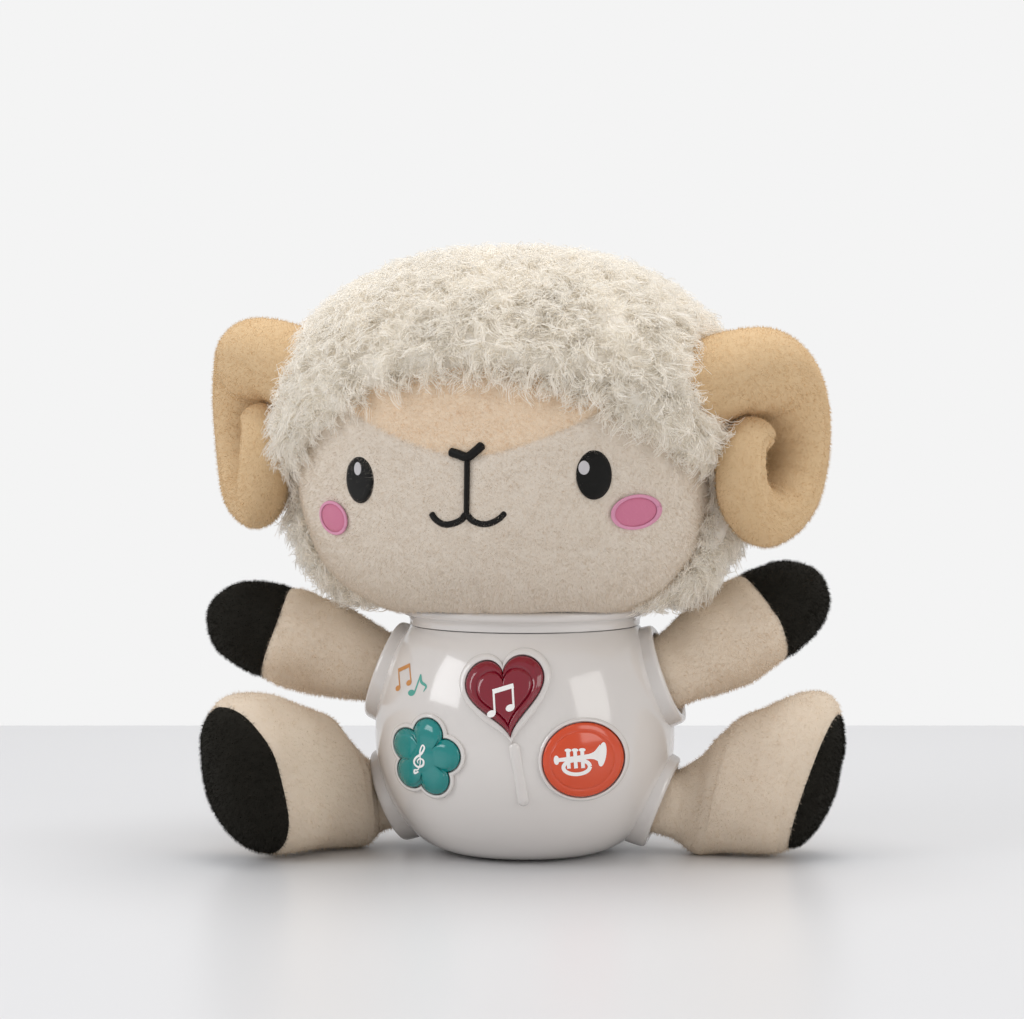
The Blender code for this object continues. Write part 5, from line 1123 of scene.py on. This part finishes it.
def wool_locks(name, roots, normals, seed, per_lock, length):
    """Tufts of curly strands on roots, in the head's own frame: the strands of a tuft curl together."""
    pick = np.random.default_rng(seed)
    locks, count = len(roots), len(roots) * per_lock

    def spread(values):
        return np.repeat(values, per_lock, axis=0)

    tangent = pick.normal(size=(locks, 3))
    tangent -= normals * (tangent * normals).sum(axis=1, keepdims=True)
    tangent /= np.linalg.norm(tangent, axis=1, keepdims=True)
    near_face = np.clip(1 - from_face(roots) / 0.010, 0, 1)[:, None]
    over_face = np.array((HEAD.x, -0.075, 0.135)) - roots
    over_face /= np.linalg.norm(over_face, axis=1, keepdims=True)
    droop = np.array((0, 0, -0.35))
    lean = tangent * pick.uniform(0.3, 1.1, size=(locks, 1)) + droop + 0.7 * near_face * over_face
    long = length * pick.uniform(0.75, 1.2, size=(locks, 1)) * (1 - 0.25 * near_face)
    scatter = pick.normal(size=(count, 3)) * 0.0019
    normal = spread(normals)
    scatter -= normal * (scatter * normal).sum(axis=1, keepdims=True)
    way = spread(lean) + 0.12 * pick.normal(size=(count, 3))
    reach = spread(long) * pick.uniform(0.8, 1.1, size=(count, 1))
    t = np.linspace(0, 1, 7)[None, :, None]
    line = (spread(roots) + scatter)[:, None, :] + reach[:, None, :] * (
        normal[:, None, :] * (0.95 * t - 0.40 * t ** 2) + way[:, None, :] * 0.55 * t ** 1.6)
    line -= scatter[:, None, :] * 0.85 * t ** 1.2
    side = np.cross(normal, way)
    side /= np.linalg.norm(side, axis=1, keepdims=True) + 1e-9
    other = np.cross(side, normal)
    turns_here = spread(pick.uniform(0.8, 1.5, size=(locks, 1)))[:, None, :]
    phase = (spread(pick.uniform(0, TURN, size=(locks, 1))) + 0.35 * pick.normal(size=(count, 1)))[:, None, :]
    curl = 0.0010 * np.minimum(2.0 * t, 1)
    line += curl * (side[:, None, :] * np.sin(TURN * turns_here * t + phase)
                    + (0.6 * normal + 0.8 * other)[:, None, :] * np.cos(TURN * turns_here * t + phase))
    line = to_world(line)
    clear = np.ones(count, dtype=bool)
    for horn_line in horn_lines.values():
        for px, py, pz, radius in horn_line[::6]:
            away = np.linalg.norm(line - np.array((px, py, pz)), axis=2).min(axis=1)
            clear &= away > radius + 0.0006
    low = line[..., 2].min(axis=1) > 0.0865
    inner = (np.hypot(line[..., 0], line[..., 1]).min(axis=1) > 0.0465) | (line[..., 2].min(axis=1) > 0.0915)
    wool = strands(name, line[clear & low & inner], 0.00048, wool_fibre, taper=0.3)
    return dressed(wool, "head", "wool_pile")


LOCKS, STRANDS_PER_LOCK, WOOL_LONG, WOOL_PIECES = 9000, 10, 0.0118, 6
roots, normals = wool_roots(LOCKS, 41)
order = np.argsort(np.arctan2(roots[:, 0] - HEAD.x, HEAD.y - roots[:, 1]))
for part, chosen in enumerate(np.array_split(order, WOOL_PIECES)):
    wool_locks(f"wool_{part + 1}", roots[chosen], normals[chosen], 42 + part, STRANDS_PER_LOCK, WOOL_LONG)


# ARMS AND LEGS
# Cream plush tubes stuffed firm, with black plush mitts and soles sewn on. Each comes out of its socket as a
# gathered sleeve that flares to the socket's rim.

black_plush = plush("black plush", "26241F", "171510", sheen=0.6)
black_fibre = fibre("black fibre", "2B2923", "1A1813")
SEAM = 0.0006


def limb_ring(centre, ahead, wide, tall, power, count=48, crease=0.0):
    level = Vector((-ahead.y, ahead.x, 0)).normalized()
    points = []
    for k in range(count):
        cos, sin = math.cos(TURN * k / count), math.sin(TURN * k / count)
        x = math.copysign(abs(cos) ** (2 / power), cos) * (wide - crease)
        z = math.copysign(abs(sin) ** (2 / power), sin) * (tall - crease)
        points.append(centre + x * level + Vector((0, 0, z)))
    return points


def limb_piece(name, table, frame_here, power, material, near, far, lean=0.0, seam=None):
    """A stuffed piece over rows of (distance, aside, up, half width, half height). A seam is a plane, given by
    a point and its normal in the limb's frame, that the cloth is drawn in along."""
    rows = smooth_curve(table, 7).tolist()
    rings = []
    for i, (out, aside, up, wide, tall) in enumerate(rows):
        before, after = rows[max(i - 1, 0)], rows[min(i + 1, len(rows) - 1)]
        ahead = Vector((after[0] - before[0], before[1] - after[1], 0)).normalized()
        centre = Vector((out, -aside, up))
        if wide < 0.0002:
            rings.append([centre])
            continue
        ends = (near * math.exp(-(i / 2.0) ** 2) + far * math.exp(-((len(rows) - 1 - i) / 2.0) ** 2))
        ring = limb_ring(centre, ahead, wide, tall, power, crease=ends * SEAM)
        tilt = lean * min(max(i - 7, 0) / 28, 1)
        rings.append([point + tilt * (point.z - centre.z) * ahead for point in ring])
    drawn_in = [SEAM * math.exp(-((p - seam[0]).dot(seam[1]) / 0.0012) ** 2) if seam else 0.0
                for ring in rings for p in ring]
    rings = [[frame_here @ p for p in ring] for ring in rings]
    item = loft(name, rings, material)
    shape = bumps(np.array([v.co for v in item.data.vertices]), 0.016, 0.00035, len(name))
    for vertex, height, pulled in zip(item.data.vertices, shape, drawn_in):
        vertex.co += vertex.normal * (height - pulled)
    return item


def part_beyond(item, name, place, normal, material):
    """Cut a closed piece in two along a plane: what lies beyond it becomes a piece of its own."""
    end = bpy.data.objects.new(name, item.data.copy())
    bpy.context.scene.collection.objects.link(end)
    end.data.materials[0] = material
    for half, inner in ((item, False), (end, True)):
        shape = bmesh.new()
        shape.from_mesh(half.data)
        everything = shape.verts[:] + shape.edges[:] + shape.faces[:]
        rim = bmesh.ops.bisect_plane(shape, geom=everything, plane_co=place, plane_no=normal,
                                     clear_inner=inner, clear_outer=not inner)["geom_cut"]
        bmesh.ops.edgeloop_fill(shape, edges=[part for part in rim if isinstance(part, bmesh.types.BMEdge)])
        shape.to_mesh(half.data)
        shape.free()
        half.data.shade_smooth()
        sharpen(half, 50)
    return end


ARM_FLAT = 0.92
sleeve = [(-0.0100, 0.0095), (-0.0040, 0.0122), (0.0030, 0.0132), (0.0111, 0.0149), (0.0203, 0.01708),
          (0.0304, 0.0177), (0.0405, 0.01743)]
mitt = [(0.0406, 0.01743), (0.0472, 0.01673), (0.0540, 0.01522), (0.0601, 0.0124), (0.0648, 0.0078),
        (0.0668, 0.0040), (0.0675, 0.0001)]
REACH, FOOT_WIDE, FOOT_TALL = 0.0525, 0.0218, 0.0292
leg_shares = [(0.09, 0.0, -0.012, 0.57, 0.44), (0.19, 0.045, 0.0, 0.66, 0.58),
              (0.27, 0.108, 0.065, 0.77, 0.74), (0.34, 0.17, 0.122, 0.855, 0.84),
              (0.5, 0.355, 0.184, 0.95, 0.915), (0.64, 0.56, 0.223, 1.0, 0.985),
              (0.74, 0.7, 0.2285, 0.98, 0.99), (0.8, 0.8, 0.2257, 0.92, 0.94),
              (0.87, 0.9, 0.2165, 0.76, 0.79), (0.92, 0.968, 0.2073, 0.46, 0.5),
              (0.94, 0.992, 0.203, 0.22, 0.25), (0.947, 1.0, 0.202, 0.004, 0.004)]
SOLE_TILT, SOLE_SEAM_OUT, FOOT_LEAN = math.radians(19), 0.0070, 0.25


def leg_rows(long, bent):
    rows = [(-0.0095, 0.0, 0.0, 0.0088, 0.0085), (0.0, 0.0, 0.0, 0.0114, 0.0114)]
    return rows + [(REACH * long * out, REACH * bent * aside, REACH * up, FOOT_WIDE * wide, FOOT_TALL * tall)
                   for out, aside, up, wide, tall in leg_shares]


for limb, (hand, out, height, _tilt, _mouth) in SOCKETS.items():
    side, kind = limb.split("_")
    pivot = Matrix.Translation(Vector((hand * out, 0, height)))
    if kind == "arm":
        raised, yaw = {"left": (18, 185), "right": (28, 27)}[side]
        turned = Matrix.Rotation(math.radians(yaw), 4, "Z")
        frame_here = pivot @ turned @ Matrix.Rotation(-math.radians(raised), 4, "Y")
        tables = [[(d, 0, 0, r * (ARM_FLAT if d > 0.012 else 1), r) for d, r in part]
                  for part in (sleeve, mitt)]
        upper = limb_piece(f"arm_cloth_{side}", tables[0], frame_here, 2.0, cream, 0, 1)
        end = limb_piece(f"mitt_cloth_{side}", tables[1], frame_here, 2.0, black_plush, 1, 0)
        end_name, root = "mitt", 0.016
    else:
        swing, long, bent = {"left": (0, 1.0, 1.0), "right": (15, 1.20, 0.35)}[side]
        turned = Matrix.Rotation(math.radians(hand * swing), 4, "Z")
        frame_here = pivot @ turned @ Matrix.Scale(hand, 4, Vector((1, 0, 0)))
        before, after = leg_shares[5], leg_shares[7]
        ahead = Vector((long * (after[0] - before[0]), bent * (before[1] - after[1]), 0)).normalized()
        middle = REACH * Vector((long * leg_shares[6][0], -bent * leg_shares[6][1], leg_shares[6][2]))
        middle += SOLE_SEAM_OUT * ahead
        normal = math.cos(SOLE_TILT) * ahead - math.sin(SOLE_TILT) * Vector((0, 0, 1))
        upper = limb_piece(f"leg_cloth_{side}", leg_rows(long, bent), frame_here, 2.3, cream, 0, 0,
                           FOOT_LEAN, (middle, normal))
        end = part_beyond(upper, f"sole_cloth_{side}", frame_here @ middle, frame_here.to_3x3() @ normal,
                          black_plush)
        end_name, root = "sole", 0.014
    upper_nap = nap(f"{kind}_nap_{side}", upper, 17000, 0.0014, 0.00017, cream_fibre, 51)
    end_nap = nap(f"{end_name}_nap_{side}", end, 13000, 0.0014, 0.00017, black_fibre, 61)
    start, stop = frame_here @ Vector((0, 0, 0)), frame_here @ Vector((root, 0, 0))
    for item in (upper, upper_nap):
        tuple(start)
        tuple(stop)
        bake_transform(item)
    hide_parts(f"{kind}_{side}")
    dressed(end, limb, "black_plush", f"{end_name}_{side}")
    dressed(end_nap, limb, "black_plush")


# PIECES KEPT FROM THE CAD MODEL
# The battery door, screws and switch on the back, and everything inside, keep their CAD shapes and get
# finishes of their own.

def metal(name, code, roughness):
    """Plated steel with fine brushed variation."""
    material, tree, shader = new_material(name, linear(code), roughness)
    shader.inputs["Metallic"].default_value = 1.0
    place = add(tree, "ShaderNodeTexCoord", -800, 0)
    noise = add(tree, "ShaderNodeTexNoise", -600, 0, Scale=900.0, Detail=3.0)
    bump = add(tree, "ShaderNodeBump", -300, -200, Strength=0.15, Distance=0.0001)
    tree.links.new(place.outputs["Object"], noise.inputs["Vector"])
    tree.links.new(noise.outputs["Fac"], bump.inputs["Height"])
    tree.links.new(bump.outputs["Normal"], shader.inputs["Normal"])
    return material


inner_plastic = gloss_plastic("inner plastic", "B9B8B4", 0.4, 0.0)
black_plastic = gloss_plastic("black plastic", "1E1E1F", 0.35, 0.0)
board_green = gloss_plastic("board laminate", "1B5A35", 0.35, 0.2)
wire = gloss_plastic("wire cover", "A81A1A", 0.45, 0.0)
battery_print = gloss_plastic("battery jacket", "2A2B30", 0.3, 0.3)
clear_led = gloss_plastic("red lamp", "C03038", 0.1, 0.5)
stuffing = plush("stuffing", "F2F1EE", "E4E2DE")
steel = metal("plated steel", "B9BABC", 0.3)
kept = {
    "shell_plastic": white_plastic, "inner_plastic": inner_plastic, "black_plastic": black_plastic,
    "board_laminate": board_green, "wire_rubber": wire, "steel": steel, "speaker_paper": black_plastic,
    "battery_jacket": battery_print, "clear_red_plastic": clear_led, "stuffing": stuffing,
}
for part in frame["record"]["subparts"]:
    node = frame["nodes"][part["node"]]
    if part["material_slot"] in kept:
        node.data.materials.clear()
        node.data.materials.append(kept[part["material_slot"]])


# CAMERA, FLOOR AND LIGHT
# A long lens a metre away and a little above, a pale table whose far edge shows behind the toy, and a
# bright studio wall with soft light from above and both sides.

AZIMUTH, TILT, DISTANCE, EYE_HEIGHT = math.radians(9.5), math.radians(2.47), 1.0, 0.166
sideways = -13 / 2778 * DISTANCE
camera = bpy.data.cameras.new("camera")
camera.lens, camera.sensor_width = 2778 / 1024 * 36, 36
viewer = bpy.data.objects.new("camera", camera)
viewer.location = (DISTANCE * math.sin(AZIMUTH) + sideways * math.cos(AZIMUTH),
                   -DISTANCE * math.cos(AZIMUTH) + sideways * math.sin(AZIMUTH), EYE_HEIGHT)
viewer.rotation_euler = (math.pi / 2 - TILT, 0, AZIMUTH)
bpy.context.scene.collection.objects.link(viewer)
bpy.context.scene.camera = viewer

table_top, tree, shader = new_material("table top", linear("D8D8D9"), 0.34)
shader.inputs["Specular IOR Level"].default_value = 0.35
place = add(tree, "ShaderNodeTexCoord", -800, 0)
noise = add(tree, "ShaderNodeTexNoise", -600, 0, Scale=400.0, Detail=2.0)
bump = add(tree, "ShaderNodeBump", -300, -200, Strength=0.05, Distance=0.0002)
tree.links.new(place.outputs["Object"], noise.inputs["Vector"])
tree.links.new(noise.outputs["Fac"], bump.inputs["Height"])
tree.links.new(bump.outputs["Normal"], shader.inputs["Normal"])
ahead = Vector((-math.sin(AZIMUTH), math.cos(AZIMUTH), 0))
right = Vector((math.cos(AZIMUTH), math.sin(AZIMUTH), 0))
corners = [ahead * d + right * s + Vector((0, 0, -0.0002))
           for d, s in ((-0.9, -1.2), (-0.9, 1.2), (0.37, 1.2), (0.37, -1.2))]
table = mesh_object("table_top", corners, [[0, 1, 2, 3]], table_top, smooth=False)

world = bpy.data.worlds.new("studio")
world.use_nodes = True
bpy.context.scene.world = world
tree = world.node_tree
plain = tree.nodes["Background"]
plain.inputs["Color"].default_value = (0.84, 0.84, 0.85, 1.0)
plain.inputs["Strength"].default_value = 0.75
wall = add(tree, "ShaderNodeBackground", -200, -200, Color=linear("F4F4F4"), Strength=1.0)
rays = add(tree, "ShaderNodeLightPath", -400, 300)
choose = add(tree, "ShaderNodeMixShader", 100, 0)
tree.links.new(rays.outputs["Is Camera Ray"], choose.inputs["Fac"])
tree.links.new(plain.outputs["Background"], choose.inputs[1])
tree.links.new(wall.outputs["Background"], choose.inputs[2])
tree.links.new(choose.outputs["Shader"], tree.nodes["World Output"].inputs["Surface"])


def soft_light(name, place, aim, size, power, colour=(1.0, 1.0, 1.0)):
    """A square area light that looks at a point."""
    light = bpy.data.lights.new(name, "AREA")
    light.size, light.energy, light.color = size, power, colour
    item = bpy.data.objects.new(name, light)
    item.location = place
    item.rotation_euler = (Vector(aim) - Vector(place)).to_track_quat("-Z", "Y").to_euler()
    bpy.context.scene.collection.objects.link(item)


soft_light("overhead", (0.1, 0.12, 1.3), (0, 0, 0.08), 0.9, 9.6)
soft_light("left_window", (-1.1, -0.7, 0.7), (0, 0, 0.1), 0.7, 6.0, (0.97, 0.98, 1.0))
soft_light("right_fill", (1.2, -0.6, 0.5), (0, 0, 0.1), 0.7, 3.5, (1.0, 0.98, 0.95))
bpy.context.scene.view_settings.view_transform = "Standard"
